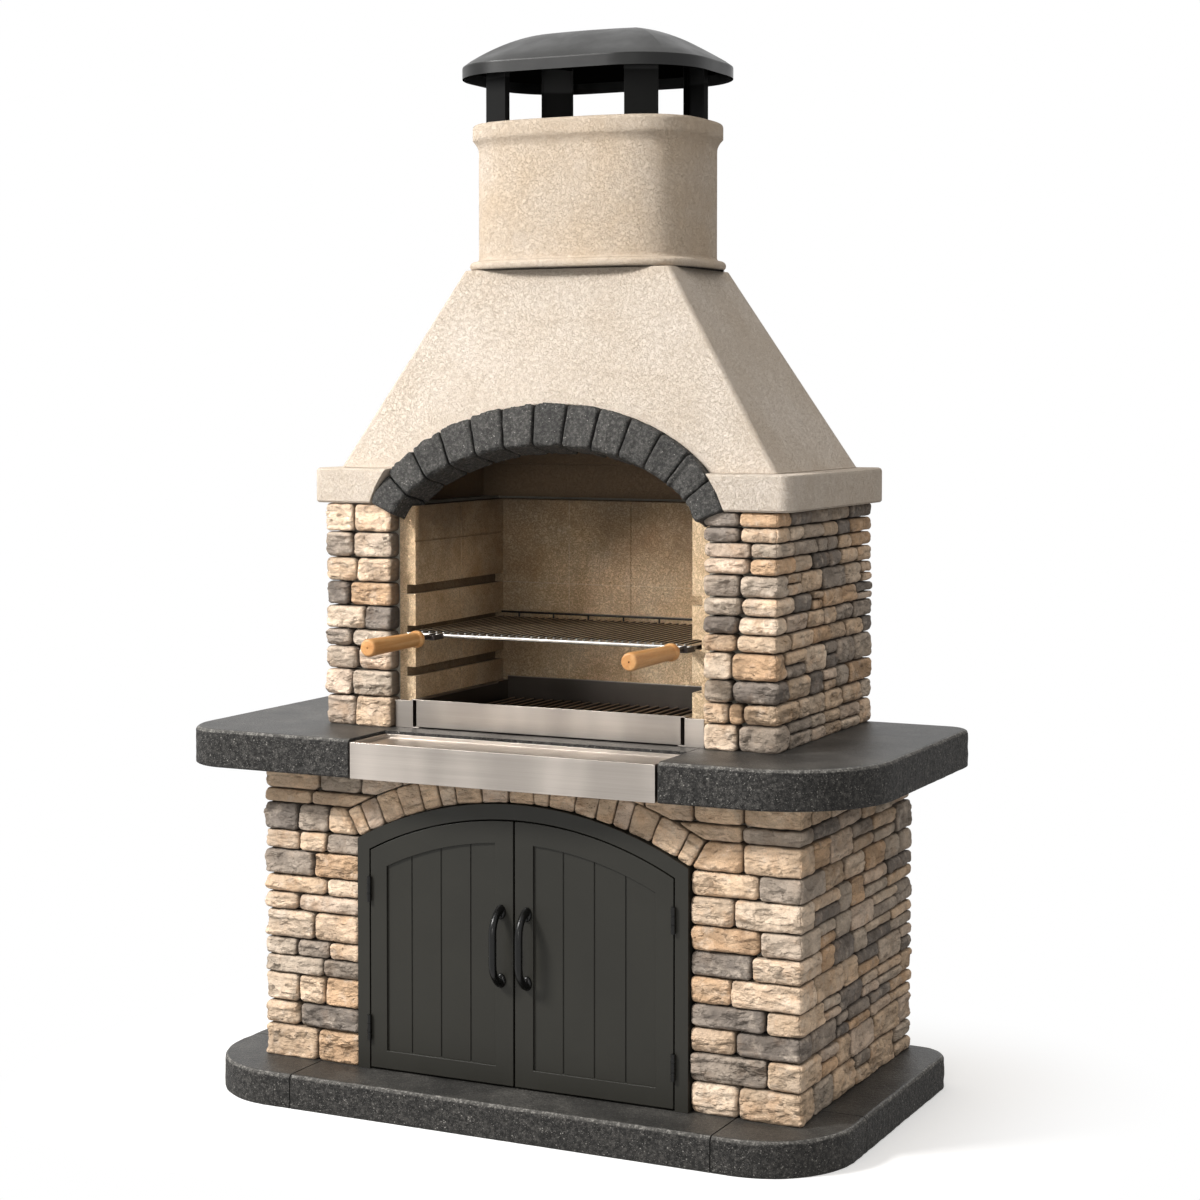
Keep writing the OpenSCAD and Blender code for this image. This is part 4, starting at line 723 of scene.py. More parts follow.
def relief(where, s, t, high, seed, rough=1.0):
    """Depth of a split face: broad flaked steps, chips, and ledges that run along it."""
    none = np.zeros_like(s)
    flat = np.stack([s, t * 1.9, none], -1) + spread(seed + 7, -9, 9, 3)
    bend = 0.006 * np.stack([soft_noise(flat, 45.0, seed + k) for k in (1, 2, 3)], -1)
    swell = rough_noise(flat + bend, 21.0, seed + 4, 3, 0.45)
    chips = np.abs(soft_noise(where, 62.0, seed + 5))
    depth = 4.0 * MM * terraces(swell, 2.2)
    depth = depth + 1.8 * MM * (chips - 0.35) + 0.6 * MM * rough_noise(where, 170.0, seed + 9, 2)
    hollow = none
    ledges = 0 if high < 30 * MM else 1 if high < 52 * MM else 2
    line_at = np.stack([s, none, none], -1)
    for k in range(ledges):
        level = high * (k + 0.5 + spread(seed + 31 + k, -0.2, 0.2)) / ledges
        off = t - (level + 5 * MM * rough_noise(line_at, 22.0, seed + 41 + k, 3))
        step = spread(seed + 51 + k, 1.4, 3.6) * (1 if spread(seed + 61 + k, 0, 1) < 0.6 else -1)
        seen = smooth(1.6 * soft_noise(line_at, 15.0, seed + 71 + k) + 0.6)
        depth = depth + step * MM * seen * (smooth(off / (3.4 * MM) + 0.5) - 0.5)
        crack = np.exp(-((off / (1.5 * MM)) ** 2)) * seen
        depth = depth + 1.6 * MM * crack
        # The groove is also darkened in the colour: painted shade in it.
        hollow = np.maximum(hollow, 0.45 * crack)
    return rough * depth, hollow


def add_stone(group, place, length, high, seed, tone, outward, deep,
              radius=12 * MM, breaks=(), ends=True, rough=1.0, step=5 * MM):
    """One stone. place(s, t, depth) gives the corner at s along it, t up it and depth into it, and
    deep is the depth of its back."""
    radius = min(radius, SMALL_SIDE * high, SMALL_SIDE * length)
    lines = grid_line(length, step, breaks, ends), grid_line(high, 0.8 * step)
    s, t = np.meshgrid(*(np.pad(line, 1, mode="edge") for line in lines), indexing="ij")
    rim = np.zeros(s.shape, bool)
    rim[:, 0] = rim[:, -1] = True
    if ends:
        rim[0] = rim[-1] = True
    inner_s = np.clip(s, radius, length - radius) if ends else s
    inner_t = np.clip(t, radius, high - radius)
    away = np.hypot(s - inner_s, t - inner_t)
    share = np.minimum(away, radius) / radius
    pull = np.where(away > radius, radius / np.maximum(away, 1e-9), 1.0)
    s, t = inner_s + (s - inner_s) * pull, inner_t + (t - inner_t) * pull
    where = place(s, t, np.zeros_like(s)) + spread(seed, -9, 9, 3)
    wave = 1.1 * MM * share
    s2 = s + wave * soft_noise(where, 55.0, seed + 3)
    t2 = t + wave * soft_noise(where, 55.0, seed + 4)
    surface, hollow = relief(where, s, t, high, seed, rough)
    # Painted light where the face stands out, painted shade where it is sunk.
    proud_light_and_shade = np.clip(0.5 - surface / (8 * MM), 0, 1)
    depth = 0.85 * radius * (1 - np.sqrt(np.clip(1 - (0.985 * share) ** 2, 0, 1)))
    depth = depth + surface * (1 - 0.5 * share**2)
    for corner in breaks:
        near = np.clip(1 - np.abs(s - corner) / (17 * MM), 0, 1)
        depth = depth + 5.2 * MM * near**2 + 2.2 * MM * near * soft_noise(where, 60.0, seed + 8)
    # Painted shade on the rounded edges, and in full on the sides that go down into the joints.
    hollow = np.maximum(hollow, smooth((share - 0.8) / 0.2) * 0.6)
    depth = np.where(rim, deep, np.maximum(depth, -1.5 * MM))
    group.add(place(s2, t2, depth), np.where(rim, 1.0, hollow), proud_light_and_shade, tone, outward)


def tone_of(letter, seed, light=1.0):
    """Place along the palette, lightness and shift of the pattern for one stone. The lightness is random,
    times the given light, which is lower for the side stones as painted shade.
    """
    light = light * spread(seed + 91, 0.86, 1.05)
    shift = spread(seed + 92, -0.05, 0.05)
    return (min(max(TONES[letter] + shift, 0.0), 1.0), light, spread(seed + 93, 0.0, 1.0))


# Tones of the front stones, course by course from the ground up, each from the door or the
# firebox out to the corner: Dark, Grey, Silver, Pale, Tan, Cream, Ochre
FRONT_TONES = {
    "base_left": "OT DT OTC GS TGS TC PC CT OG GTC TGD TT ST",
    "base_right": "CT GT TD DT OC DC OS CC TG OT TG TT",
    "pillar_left": "TP SP PS SG DC OD TT SG TC",
    "pillar_right": "CG TOT SD CO OT DC SC GS PO PS DT DO",
}
# Side stones take tones from this list at random; their lightness is scaled down as painted shade on the
# side faces.
SIDE_TONES, SIDE_SHADE = "TTTTTCCPPOOSSGGDDD", 0.9

# Y of the front face and X of the side face of the stones, and X and Y of the walls behind them
BASE_FACES = (-0.334, 0.62, 0.58, -0.294)
PILLAR_FACES = (-0.2325, 0.528, 0.486, -0.1905)
DOOR_CENTRE_Z = -0.127
DOOR_STONE_IN, DOOR_STONE_OUT, STONE_RING = 0.7865, 0.8475, 0.8495
DOOR_RING_END = math.radians(29.2)
ARCH_FOOT = 0.545
BASE_TOP = 0.6995
JOINT_FILL, BACK_GAP = 0.5 * MM, 0.5 * MM


def front_place(side, x0, z0, y, inner=None):
    """Places on a front face; inner(z) is the least distance from the middle, where an arch cuts."""
    def place(s, t, depth):
        x, z = x0 + s, z0 + t
        if inner is not None:
            length = np.max(s)
            least = np.maximum(x0, inner(z))
            x = least + (x0 + length - least) * s / max(length, 1e-6)
        return np.stack([side * x, y + depth, z], -1)
    return place


def side_place(side, y0, z0, x):
    """Places on a side face."""
    def place(s, t, depth):
        return np.stack([side * (x - depth), y0 + s, z0 + t], -1)
    return place


def corner_place(side, reach, x, y, z0):
    """Places on a stone that turns the corner after reach."""
    def place(s, t, depth):
        px = np.minimum(np.where(s < reach, x - reach + s, x), x - depth)
        py = np.maximum(np.where(s < reach, y, y + s - reach), y + depth)
        return np.stack([side * px, py, z0 + t], -1)
    return place


def arch_cut(z):
    """Distance from the middle at which the stones over the doors end: round the ring of wedge
    stones, and below it along the end of that ring."""
    up = z - DOOR_CENTRE_Z
    return np.minimum(np.sqrt(np.maximum(STONE_RING**2 - up**2, 0)), up * math.tan(DOOR_RING_END))


def clad(name, nodes, side, faces, tones, seed, cut=False):
    """Detailed stones for the cladding on one side, one for each solid of its CAD nodes. cut is for
    stones that the arch over the doors cuts."""
    front, x_face, core_x, core_y = faces
    group = StoneGroup()
    found = []
    for corners in (c for node in nodes for c in islands(node)):
        x = np.sort(side * corners[:, 0])
        (_, y0, z0), (_, y1, z1) = corners.min(0), corners.max(0)
        in_front = y0 < front + 4 * MM
        found.append({"x0": x[0], "x1": x[-1], "y0": y0, "y1": y1, "z0": z0, "z1": z1,
                      "front": in_front, "corner": in_front and x[-1] > x_face - 1 * MM})
    levels = sorted(f["z0"] for f in found if f["corner"])
    courses = {}
    for f in found:
        if f["front"]:
            course = int(np.argmin([abs(f["z0"] - z) for z in levels]))
            courses.setdefault(course, []).append(f)
    for course, members in courses.items():
        letters = tones.split()[course]
        members.sort(key=lambda f: -f["x0"])
        for k, f in enumerate(members):
            f["letter"] = letters[max(len(letters) - 1 - k, 0)]
    sides = np.random.default_rng(seed)
    for number, f in enumerate(sorted(found, key=lambda f: (f["z0"], f["y0"], f["x0"]))):
        own = seed + 131 * number
        fill = JOINT_FILL
        z0, high = f["z0"] - fill, f["z1"] - f["z0"] + 2 * fill
        letter = f.get("letter") or SIDE_TONES[sides.integers(len(SIDE_TONES))]
        # Side stones get a lower lightness: painted shade on the side faces.
        tone = tone_of(letter, own, 1.0 if f["front"] else SIDE_SHADE)
        radius = spread(own + 1, 8, 15) * MM
        tilt = spread(own + 2, -1, 1, 2) * 1.6 * MM
        breaks = ()
        if f["corner"]:
            reach, back = x_face - f["x0"] + fill, f["y1"] - front + fill
            on_face = corner_place(side, reach, x_face, front, z0)
            length, breaks, outward = reach + back, (reach,), (0.3 * side, -1, 0)
            deep = x_face - core_x - BACK_GAP
        elif f["front"]:
            inner = arch_cut if cut and f["z1"] > ARCH_FOOT else None
            on_face = front_place(side, f["x0"] - fill, z0, f["y0"], inner)
            length, outward = f["x1"] - f["x0"] + 2 * fill, (0, -1, 0)
            deep = core_y - f["y0"] - BACK_GAP
        else:
            on_face = side_place(side, f["y0"] - fill, z0, f["x1"])
            length, outward = f["y1"] - f["y0"] + 2 * fill, (side, 0, 0)
            deep = f["x1"] - core_x - BACK_GAP

        def place(s, t, depth):
            lean = tilt[0] * (2 * s / length - 1) + tilt[1] * (2 * t / high - 1) + 1 * MM
            return on_face(s, t, np.where(depth < deep, depth + lean, depth))

        add_stone(group, place, length, high, own, tone, outward, deep, radius, breaks, step=4 * MM)
    return piece(name, group.mesh(name), "split_stone", nodes)


for side, hand, base_seed, pillar_seed in ((-1, "left", 5000, 1000), (1, "right", 9000, 3000)):
    clad("base_cladding_" + hand, ["base_stones_" + hand, "base_stones_front_" + hand], side,
         BASE_FACES, FRONT_TONES["base_" + hand], base_seed, cut=True)
    clad("pillar_cladding_" + hand, ["pillar_stones_" + hand], side,
         PILLAR_FACES, FRONT_TONES["pillar_" + hand], pillar_seed)


def door_arch():
    """The wedge stones over the doors, cut off level below the worktop."""
    group = StoneGroup()
    high = DOOR_STONE_OUT - DOOR_STONE_IN
    stones = sorted(islands("door_arch_stones"), key=lambda c: c[:, 0].mean())
    for number, corners in enumerate(stones):
        angles = np.arctan2(corners[:, 0], corners[:, 2] - DOOR_CENTRE_Z)
        first = angles.min() - 0.9 * MM / DOOR_STONE_IN
        span = angles.max() - angles.min() + 1.8 * MM / DOOR_STONE_IN
        face = corners[:, 1].min()

        def place(s, t, depth):
            angle = first + s / DOOR_STONE_IN
            outer = np.minimum(DOOR_STONE_OUT, (BASE_TOP - DOOR_CENTRE_Z) / np.cos(angle))
            r = DOOR_STONE_IN + t * (outer - DOOR_STONE_IN) / high
            return np.stack([r * np.sin(angle), face + depth, DOOR_CENTRE_Z + r * np.cos(angle)], -1)

        seed = 700 + 37 * number
        tone = tone_of("TPTTTC"[number % 6], seed)
        add_stone(group, place, span * DOOR_STONE_IN, high, seed, tone, (0, -1, 0), deep=39 * MM,
                  radius=7 * MM, rough=0.7)
    piece("door_arch_blocks", group.mesh("door_arch_blocks"), "tan_arch_stone", ["door_arch_stones"])


door_arch()

# Firebox arch: its leaning face goes through the foot line, and both edges are parts of ellipses,
# given by half width, rise, drop below the foot line, reach in degrees and unevenness
ARCH_Y, ARCH_Z, ARCH_LEAN = -0.2375, 1.261, math.radians(12.8)
ARCH_OUT = (0.421, 0.282, 0.0595, 77.5, 0.12)
ARCH_IN = (0.369, 0.221, 0.0905, 72.4, 0.05)
ARCH_DEPTH, ARCH_COUNT, ARCH_PROUD = 0.090, 13, 3 * MM
ARCH_GAP = 0.0036


def arch_edge(spec, share):
    """Point on an edge of the arch, across and up its face, for share from -1 to 1."""
    half_w, rise, drop, reach, ease = spec
    angle = np.radians(90 - reach * (share + ease * (share**3 - share)))
    return half_w * np.cos(angle), -drop + rise * np.sin(angle)


def on_arch_face(x, up, out):
    """Point in space from a place on the leaning face and the distance out of it."""
    lean_y, lean_z = math.sin(ARCH_LEAN), math.cos(ARCH_LEAN)
    return np.stack([x, ARCH_Y + up * lean_y - out * lean_z, ARCH_Z + up * lean_z + out * lean_y], -1)


def firebox_arch():
    """The dark wedge stones, each with its soffit, its face and its outer side."""
    group = StoneGroup()
    for k in range(ARCH_COUNT):
        t0, t1 = 2 * k / ARCH_COUNT - 1 + ARCH_GAP, 2 * (k + 1) / ARCH_COUNT - 1 - ARCH_GAP
        middle = (t0 + t1) / 2
        ring = math.dist(arch_edge(ARCH_IN, middle), arch_edge(ARCH_OUT, middle))
        width = math.dist(arch_edge(ARCH_OUT, t0), arch_edge(ARCH_OUT, t1))

        def place(s, t, depth):
            share = t0 + (t1 - t0) * t / width
            across = np.clip(np.clip(s - ARCH_DEPTH, 0, ring), depth, ring - depth) / ring
            into = np.maximum(np.maximum(ARCH_DEPTH - s, s - ARCH_DEPTH - ring), 0)
            into = np.maximum(into, depth) - ARCH_PROUD
            xi, ui = arch_edge(ARCH_IN, share)
            xo, uo = arch_edge(ARCH_OUT, share)
            return on_arch_face(xi + (xo - xi) * across, ui + (uo - ui) * across, -into)

        seed = 300 + 41 * k
        tone = (0.5, spread(seed + 3, 0.85, 1.15), 0.5)
        breaks = (ARCH_DEPTH, ARCH_DEPTH + ring)
        add_stone(group, place, 2 * ARCH_DEPTH + ring, width, seed, tone, (0, -1, 0), deep=24 * MM,
                  radius=8 * MM, breaks=breaks, ends=False, rough=0.8)
    piece("firebox_arch", group.mesh("firebox_arch"), "dark_granite", ["arch_stones"])


firebox_arch()


# Slabs

SLAB_STEP, FOOT_ARRIS, TOP_ARRIS, SEAM_ARRIS = 9 * MM, 4 * MM, 10 * MM, 0.14


def rounded_ring(x0, x1, y0, y1, radii):
    """Plan of a box with rounded corners, from the front right corner and on to the left."""
    corners = ((x1, y0, -90, -1, 1), (x1, y1, 0, -1, -1), (x0, y1, 90, 1, -1), (x0, y0, 180, 1, 1))
    points = []
    for (cx, cy, start, ux, uy), r in zip(corners, radii):
        count = max(3, int(r * math.pi / 2 / SLAB_STEP))
        turn = arc(count, math.radians(start), math.radians(start + 90))
        points += [(cx + ux * r + r * c, cy + uy * r + r * v) for c, v in turn]
    line = []
    for p, q in zip(points, points[1:] + points[:1]):
        count = max(1, round(math.dist(p, q) / SLAB_STEP))
        line += [(p[0] + (q[0] - p[0]) * j / count, p[1] + (q[1] - p[1]) * j / count)
                 for j in range(count)]
    return np.array(line)


def slab_piece(name, node, across, along, radii, z0, z1, seams):
    """A cast slab with rounded arrises and washed sides. seams marks the sides (left, right,
    front, back) that butt against a neighbour, where the arris is slight."""
    (x0, x1), (y0, y1) = across, along
    base = rounded_ring(x0, x1, y0, y1, radii)
    factor = [SEAM_ARRIS if seam else 1.0 for seam in seams]
    sections = [(z0 + FOOT_ARRIS * (1 - c), FOOT_ARRIS * (1 - v)) for c, v in arc(3)]
    low, high = z0 + FOOT_ARRIS, z1 - TOP_ARRIS
    body = np.linspace(low, high, max(4, round((high - low) / (7 * MM))))[1:]
    sections += [(z, 0.0) for z in body]
    sections += [(high + TOP_ARRIS * v, TOP_ARRIS * (1 - c)) for c, v in arc(5)[1:]]
    mid = np.array([(x0 + x1) / 2, (y0 + y1) / 2])
    half = np.array([(x1 - x0) / 2, (y1 - y0) / 2])
    rings = []
    for z, inset in sections:
        pull_x = np.where(base[:, 0] < mid[0], factor[0], factor[1]) * inset / half[0]
        pull_y = np.where(base[:, 1] < mid[1], factor[2], factor[3]) * inset / half[1]
        ring = mid + (base - mid) * (1 - np.stack([pull_x, pull_y], -1))
        rings.append(np.column_stack([ring, np.full(len(ring), z)]))
    points = np.array(rings)
    outward = np.roll(base, -1, 0) - np.roll(base, 1, 0)
    outward = np.column_stack([outward[:, 1], -outward[:, 0], np.zeros(len(base))])
    outward /= np.linalg.norm(outward, axis=1)[:, None]
    at_seam = np.zeros(len(base), bool)
    for seam, axis, edge in zip(seams, (0, 0, 1, 1), (x0, x1, y0, y1)):
        if seam:
            at_seam |= np.abs(base[:, axis] - edge) < 1.5 * MM
    push = 0.9 * MM * rough_noise(points, 70.0, 3, 3) + 0.7 * MM * soft_noise(points, 9.0, 8) - 0.8 * MM
    push[:, at_seam] = 0
    push[[0, -1]] = 0
    points = points + push[..., None] * outward[None]
    count = len(base)
    faces = ring_faces(count, len(sections))
    last = (len(sections) - 1) * count
    faces += [tuple(range(count - 1, -1, -1)), tuple(range(last, last + count))]
    mesh = mesh_of(name, points.reshape(-1, 3), faces)
    return soften(piece(name, mesh, "dark_slab", [node]))


def slabs():
    """The worktop's wings beside the firebox's bay, and the plinth's slabs with thin seams."""
    deep, bay, gap = (-0.423, 0.327), 0.352, 0.6 * MM
    x, y, fine, slight = PLINTH["seam_x"], PLINTH["seam_y"], 2 * MM, 1 * MM
    left, middle, right = (PLINTH["x0"], -x - gap), (-x + gap, x - gap), (x + gap, PLINTH["x1"])
    front, back = (PLINTH["y0"], y - gap), (y + gap, PLINTH["y1"])
    wings = (
        ("left", (-0.785, -bay), deep, (3 * MM, fine, 0.045, 0.110), (0, 1, 0, 0)),
        ("right", (bay, 0.757), deep, (0.230, 0.045, fine, 3 * MM), (1, 0, 0, 0)),
    )
    for hand, across, along, radii, seams in wings:
        slab_piece("worktop_wing_" + hand, "worktop_" + hand, across, along, radii, 0.700, 0.781, seams)
    plinth = (
        ("centre", middle, front, (fine, slight, slight, fine), (1, 1, 0, 1)),
        ("corner_left", left, front, (fine, slight, slight, 0.200), (0, 1, 0, 1)),
        ("corner_right", right, front, (0.190, slight, slight, fine), (1, 0, 0, 1)),
        ("side_left", left, back, (slight, slight, 0.070, slight), (0, 1, 1, 0)),
        ("side_right", right, back, (slight, 0.070, slight, slight), (1, 0, 1, 0)),
    )
    for part, across, along, radii, seams in plinth:
        node = "plinth_front_centre" if part == "centre" else "plinth_" + part
        slab_piece("plinth_slab_" + part, node, across, along, radii, 0.0, 0.072, seams)


slabs()


# Chimney and cap

OVAL_X, OVAL_Y = 0.125, 0.055
TUBE_X, TUBE_Y, TUBE_POWER, TUBE_RADIUS, TUBE_CORNERS = 0.252, 0.172, 3.2, 0.121, 120


def oval(radius, z):
    """Ring of the chimney at a corner radius of the CAD plan, bowed all the way round."""
    half_x, half_y = TUBE_X + radius - TUBE_RADIUS, TUBE_Y + radius - TUBE_RADIUS
    power = 2 / TUBE_POWER
    return [(half_x * math.copysign(abs(c) ** power, c),
             FLUE_Y + half_y * math.copysign(abs(v) ** power, v), z) for c, v in circle(TUBE_CORNERS)]


def chimney():
    """Corner radius and level along its section: foot ring, tube, flare, rim, seat and bore."""
    z0, z1 = 1.760, 2.075
    tube, ring, rim, seat, bore = TUBE_RADIUS, 0.139, 0.133, 0.109, 0.089
    bulge, lip = 10 * MM, 9 * MM
    line = [(bore, z0), (ring - 3 * MM, z0)]
    line += [(ring - bulge + bulge * c, z0 + bulge + bulge * v)
             for c, v in arc(8, -math.pi / 2, math.pi / 2)]
    line += [(tube + 4 * MM, z0 + 21 * MM), (tube + 1 * MM, z0 + 23 * MM), (tube, z0 + 28 * MM)]
    line += [(tube, z0 + h) for h in (0.08, 0.14, 0.20, 0.25)]
    flare = [k / 6 for k in range(1, 7)]
    line += [(tube + (rim - tube) * u * u, z1 - 60 * MM + 26 * MM * u) for u in flare]
    line += [(rim, z1 - 26 * MM), (rim, z1 - lip)]
    line += [(rim - lip + lip * c, z1 - lip + lip * v) for c, v in arc(5)[1:]]
    line += [(seat + 2 * MM, z1), (seat, z1 - 2 * MM), (seat, z1 - 60 * MM), (bore, z1 - 60 * MM)]
    rings = [oval(radius, z) for radius, z in line]
    faces = ring_faces(TUBE_CORNERS, len(rings), closed=True)
    mesh = mesh_of("chimney_stack", sum(rings, []), faces)
    soften(piece("chimney_stack", mesh, "render", ["chimney"]))


chimney()

CAP_REACH, CAP_RIDGE, CAP_Z, CAP_EDGE, CAP_DOME, CAP_SHEET = 0.1555, 0.075, 2.171, 0.027, 0.079, 0.003
CAP_STEPS = 14


def cap_ring(share, thin, z):
    """Ring of the cap at a share of its reach, with hips to the four corners."""
    reach = CAP_REACH - thin
    diagonal = math.cos(math.radians(45)) * reach
    hip_x, hip_y = OVAL_X + diagonal, OVAL_Y + diagonal
    bowed = min(1, (1 - share) / 0.25)

    def out(at, own, other):
        """Distance out of the edge at a place along it, from a round corner to a bowed side."""
        side = other + reach
        rounded = side if at < own else other + math.sqrt(max(0, reach**2 - (at - own) ** 2))
        bow = side - (reach - diagonal) * (at / (own + diagonal)) ** 2
        return rounded * (1 - bowed) + bow * bowed

    quarter = []
    for i in range(CAP_STEPS + 1):
        y = hip_y * i / CAP_STEPS
        quarter.append((CAP_RIDGE + (out(y, OVAL_Y, OVAL_X) - CAP_RIDGE) * share, y * share))
    for i in range(1, CAP_STEPS + 1):
        x = hip_x * (1 - i / CAP_STEPS)
        ridge = CAP_RIDGE * (x / hip_x) * (1 - share)
        quarter.append((x * share + ridge, out(x, OVAL_X, OVAL_Y) * share))
    whole = quarter + [(-x, y) for x, y in quarter[-2::-1]]
    whole += [(-x, -y) for x, y in quarter[1:]] + [(x, -y) for x, y in quarter[-2:0:-1]]
    return [(x, y + FLUE_Y, z) for x, y in whole]


def cap():
    """The cap's sheet: its underside from the middle out, its rolled edge, and its dome."""
    shares = [1 - 0.97 * (k / 18) for k in range(19)]
    top = CAP_Z + CAP_EDGE

    def level(share, thin):
        return top - thin + CAP_DOME * (1 - share**1.9)

    rings = [cap_ring(u, CAP_SHEET, level(u, CAP_SHEET)) for u in reversed(shares)]
    rings += [cap_ring(1, thin, z) for thin, z in (
        (CAP_SHEET, CAP_Z), (0.6 * MM, CAP_Z), (0, CAP_Z + 0.6 * MM), (0, top - 3.5 * MM),
        (0.7 * MM, top - 1.2 * MM))]
    rings += [cap_ring(u, 0, level(u, 0)) for u in shares[1:]]
    mesh = mesh_of("cap_sheet", sum(rings, []), ring_faces(len(rings[0]), len(rings)))
    form = bmesh.new()
    form.from_mesh(mesh)
    bmesh.ops.holes_fill(form, edges=[e for e in form.edges if e.is_boundary], sides=0)
    bmesh.ops.recalc_face_normals(form, faces=form.faces)
    form.to_mesh(mesh)
    form.free()
    mesh.set_sharp_from_angle(angle=math.radians(8))
    soften(piece("cap_sheet", mesh, "cap_paint", ["cap"]))


cap()


# Grips and door handles

GRIP_RADIUS = 18.5
GRIP_SHAPE = [  # radius and distance from the back end, in mm
    (4.4, 0), (13, 0), (16.4, 1), (18.1, 3.6), (18.5, 8), (18.1, 12.4), (16.6, 15.6), (15.2, 17.4),
    (15.0, 20), (15.3, 26), (15.7, 60), (16.5, 110), (17.5, 160), (18.2, 190), (18.3, 196),
    (17.9, 200), (16.6, 203.4), (15, 204.6), (13, 205), (1.8, 205), (1.5, 204), (1.4, 196),
    (0.05, 196),
]


def grips():
    """Two turned grips along Y."""
    low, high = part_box("grate_grips")
    most, level = (high.z - low.z) / 2, (high.z + low.z) / 2
    points, faces, count = [], [], 40
    for x in (low.x + most, high.x - most):
        faces += ring_faces(count, len(GRIP_SHAPE), len(points), turned=True)
        for radius, off in GRIP_SHAPE:
            r, y = radius * most / GRIP_RADIUS, high.y - off * MM
            points += [(x + r * c, y, level + r * v) for c, v in circle(count)]
    mesh = mesh_of("grips", points, faces)
    soften(piece("grips", mesh, "light_wood", ["grate_grips"], "cooking_grate"))


grips()

BOSS_SHAPE = [(1.0, 0.0), (1.0, 2.5), (0.93, 4.4), (0.76, 5.8), (0.5, 6.6), (0.02, 6.9)]


def bow_handle(hand):
    """Door handle: a bar that thins towards its two feet, each a rounded oval boss."""
    node = "door_" + hand + "_handle"
    low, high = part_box(node)
    middle, level = (low.x + high.x) / 2, (low.z + high.z) / 2
    reach = high.y - low.y
    ends = (high.z - low.z) / 2 - 11 * MM
    path = [(0.5, 0, 10.4), (4, 0, 9.6), (9, 1, 8.6), (15, 4, 7.8), (21, 9, 7.5), (27, 16, 7.6),
            (32, 24, 7.8), (35.5, 33, 8.0), (reach / MM - 8.1, 44, 8.05)]
    foot = [(out * MM, ends - back * MM, r * MM) for out, back, r in path]
    line = foot + [(foot[-1][0], k / 5 * foot[-1][1], 8.1 * MM) for k in (4, 2, 0, -2, -4)]
    line += [(out, -up, r) for out, up, r in reversed(foot)]
    points, count = [], 24
    sideways = Vector((1, 0, 0))
    for i, (out, up, r) in enumerate(line):
        before, after = line[max(i - 1, 0)], line[min(i + 1, len(line) - 1)]
        other = Vector((0, before[0] - after[0], after[1] - before[1])).normalized().cross(sideways)
        centre = Vector((middle, high.y - out, level + up))
        points += [centre + r * (sideways * c + other * v) for c, v in circle(count)]
    faces = ring_faces(count, len(line))
    for sign in (-1, 1):
        faces += ring_faces(count, len(BOSS_SHAPE), len(points))
        at = level + sign * (ends - 4 * MM)
        for share, out in BOSS_SHAPE:
            points += [Vector((middle + 11 * MM * share * c, high.y - out * MM, at + 15 * MM * share * v))
                       for c, v in circle(count)]
    name = "bow_handle_" + hand
    soften(piece(name, mesh_of(name, points, faces), "black_iron", [node], hand + "_door"))


bow_handle("left")
bow_handle("right")


# Other parts with rounded edges, each on its own body

# Of the CAD hood at its foot and its top: half width, half depth, middle, corner radius and level
HOOD_FOOT = (0.5105, 0.23725, 0.04175, 0.030, 1.336)
HOOD_TOP = (0.252, 0.160, 0.037, 0.060, 1.760)
HOOD_WAIST, HIP_RADIUS = 0.965, 15 * MM


def crisp_hips(made):
    """Moves the outer corners of the hood out to a smaller radius, and narrows it to its top."""
    for vertex in made.data.vertices:
        x, y, z = vertex.co
        share = (z - HOOD_FOOT[4]) / (HOOD_TOP[4] - HOOD_FOOT[4])
        section = (a + (b - a) * share for a, b in zip(HOOD_FOOT[:4], HOOD_TOP))
        half_x, half_y, middle, radius = section
        waist = 1 + (HOOD_WAIST - 1) * min(max(share, 0), 1)
        vertex.co.x = x * waist
        off_x, off_y = abs(x) - (half_x - radius), abs(y - middle) - (half_y - radius)
        if off_x <= 0 or off_y <= 0 or abs(math.hypot(off_x, off_y) - radius) > 2 * MM:
            continue
        angle = math.atan2(off_y, off_x)
        new_x = half_x - HIP_RADIUS + HIP_RADIUS * math.cos(angle)
        new_y = half_y - HIP_RADIUS + HIP_RADIUS * math.sin(angle)
        vertex.co.x = math.copysign(new_x * waist, x)
        vertex.co.y = middle + math.copysign(new_y, y - middle)


crisp_hips(refined("hood", bevel=2.2 * MM, angle=40))
for node in ("cornice", "liner_left", "liner_right", "liner_back"):
    refined(node, bevel=2.2 * MM, angle=40)
for node in ("door_frame", "front_ledge", "cap_posts", "tray_guide_left", "tray_guide_right"):
    refined(node, bevel=0.7 * MM)
for hand in ("left", "right"):
    body = hand + "_door"
    refined("door_" + hand, body, 1.3 * MM)
    refined("door_" + hand + "_panel", body, 0.8 * MM)
    refined("hinge_knuckles_" + hand, body, 0.4 * MM)
refined("hinge_knuckles_frame", bevel=0.4 * MM)
tray = refined("fire_tray", "fire_tray", 0.6 * MM)
tray.data.materials[0] = TRAY_STEEL
refined("charcoal_grate", "charcoal_grate", 0.5 * MM)
refined("grate_forks", "cooking_grate", 0.5 * MM)

for name, node in NODES.items():
    if node.hide_render:
        continue
    node.data.materials.clear()
    node.data.materials.append(MATERIALS[SLOT_OF[name]])


# Floor, light and camera

SKY = (0.17, 1.0)
FLOOR_HALF = 30.0
FOOT_HALF, SHADOW_REACH = (0.60, 0.30, 0.0), 0.62
WARM = (1.0, 0.97, 0.93)


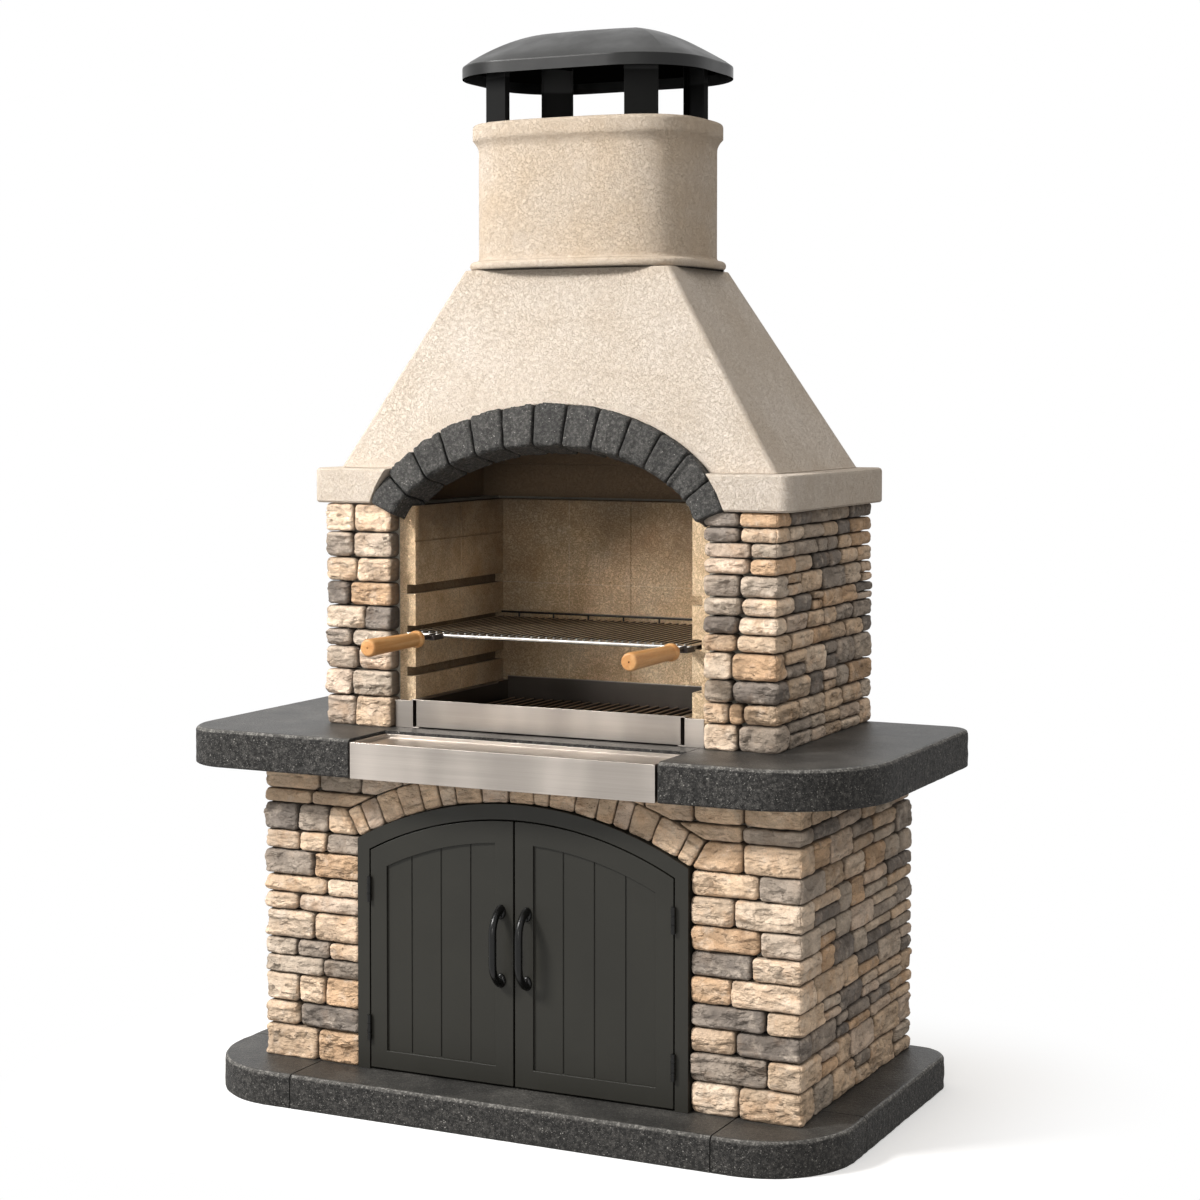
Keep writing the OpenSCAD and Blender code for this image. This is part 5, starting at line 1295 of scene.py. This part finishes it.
def background():
    """White for the camera, glossy and see-through rays, and soft light for the object."""
    world = bpy.data.worlds.new("studio")
    bpy.context.scene.world = world
    world.use_nodes = True
    w = Nodes(world.node_tree)
    w.tree.nodes.clear()
    rise = w.parts(w.node("TexCoord").outputs["Generated"])[2]
    sky = w.node("MapRange", rise, 0.0, 1.0, *SKY).outputs[0]
    light = w.node("Background", (1.0, 0.965, 0.92, 1), sky).outputs[0]
    white = w.node("Background", (1, 1, 1, 1), 1.0).outputs[0]
    w.node("OutputWorld", w.node("MixShader", w.seen_rays(), light, white).outputs[0])


def floor():
    """Pale floor: white to the camera, with the object's shadow close round its foot."""
    plan = ((-1, -1), (1, -1), (1, 1), (-1, 1))
    mesh = mesh_of("floor", [(x * FLOOR_HALF, y * FLOOR_HALF, 0) for x, y in plan], [(0, 1, 2, 3)])
    made = new_object("floor", mesh)
    s = Shader("floor")
    s.tree.nodes.remove(s.bsdf)
    bounce = s.node("BsdfDiffuse", (0.3, 0.3, 0.3, 1)).outputs[0]
    lit = s.node("BsdfDiffuse", (0.85, 0.85, 0.85, 1)).outputs[0]
    near = s.node("AddShader", lit, s.node("Emission", Strength=0.3).outputs[0]).outputs[0]
    outside = s.vector("SUBTRACT", s.vector("ABSOLUTE", s.place), FOOT_HALF)
    distance = s.vector("LENGTH", s.vector("MAXIMUM", outside, (0.0, 0.0, 0.0)))
    fade = s.band(distance, 0.0, SHADOW_REACH)
    seen = s.node("MixShader", fade, near, s.node("Emission").outputs[0]).outputs[0]
    shown = s.node("MixShader", s.seen_rays(), bounce, seen).outputs[0]
    s.feed(s.tree.nodes["Material Output"].inputs[0], shown)
    mesh.materials.append(s.material)


def lamp(name, place, target, size, power, colour, cone=180):
    """A round lamp that looks to target and shines within the angle of cone, in degrees."""
    data = bpy.data.lights.new(name, "AREA")
    data.shape = "DISK"
    data.size = size
    data.spread = math.radians(cone)
    data.energy = power
    data.color = colour
    made = new_object(name, data)
    made.location = place
    aim = Vector(target) - Vector(place)
    made.rotation_euler = aim.to_track_quat("-Z", "Y").to_euler()


def camera():
    """The photo's view. The shift across is from the optical axis to the picture's middle."""
    data = bpy.data.cameras.new("camera")
    data.sensor_width = 36.0
    data.lens = 72.910
    data.shift_x = (600 - 589.28) / 1200
    data.shift_y = -0.10
    data.clip_end = 100.0
    made = new_object("camera", data)
    made.location = (2.3016, -4.7000, 1.4972)
    made.rotation_euler = (math.radians(90 - 2.0462), 0.0, math.radians(26.1118))
    bpy.context.scene.camera = made


background()
floor()
lamp("key", (-3.24, -3.69, 4.44), (0, 0, 1.0), 1.4, 422, (1.0, 0.985, 0.965))
lamp("fill", (1.3, -5.2, 1.5), (0, 0, 1.0), 1.5, 34, WARM)
lamp("inner", (-1.8, -3.0, 2.3), (0.12, 0.19, 1.03), 0.6, 0.29, WARM, cone=12)
camera()
bpy.context.scene.view_settings.view_transform = "Standard"
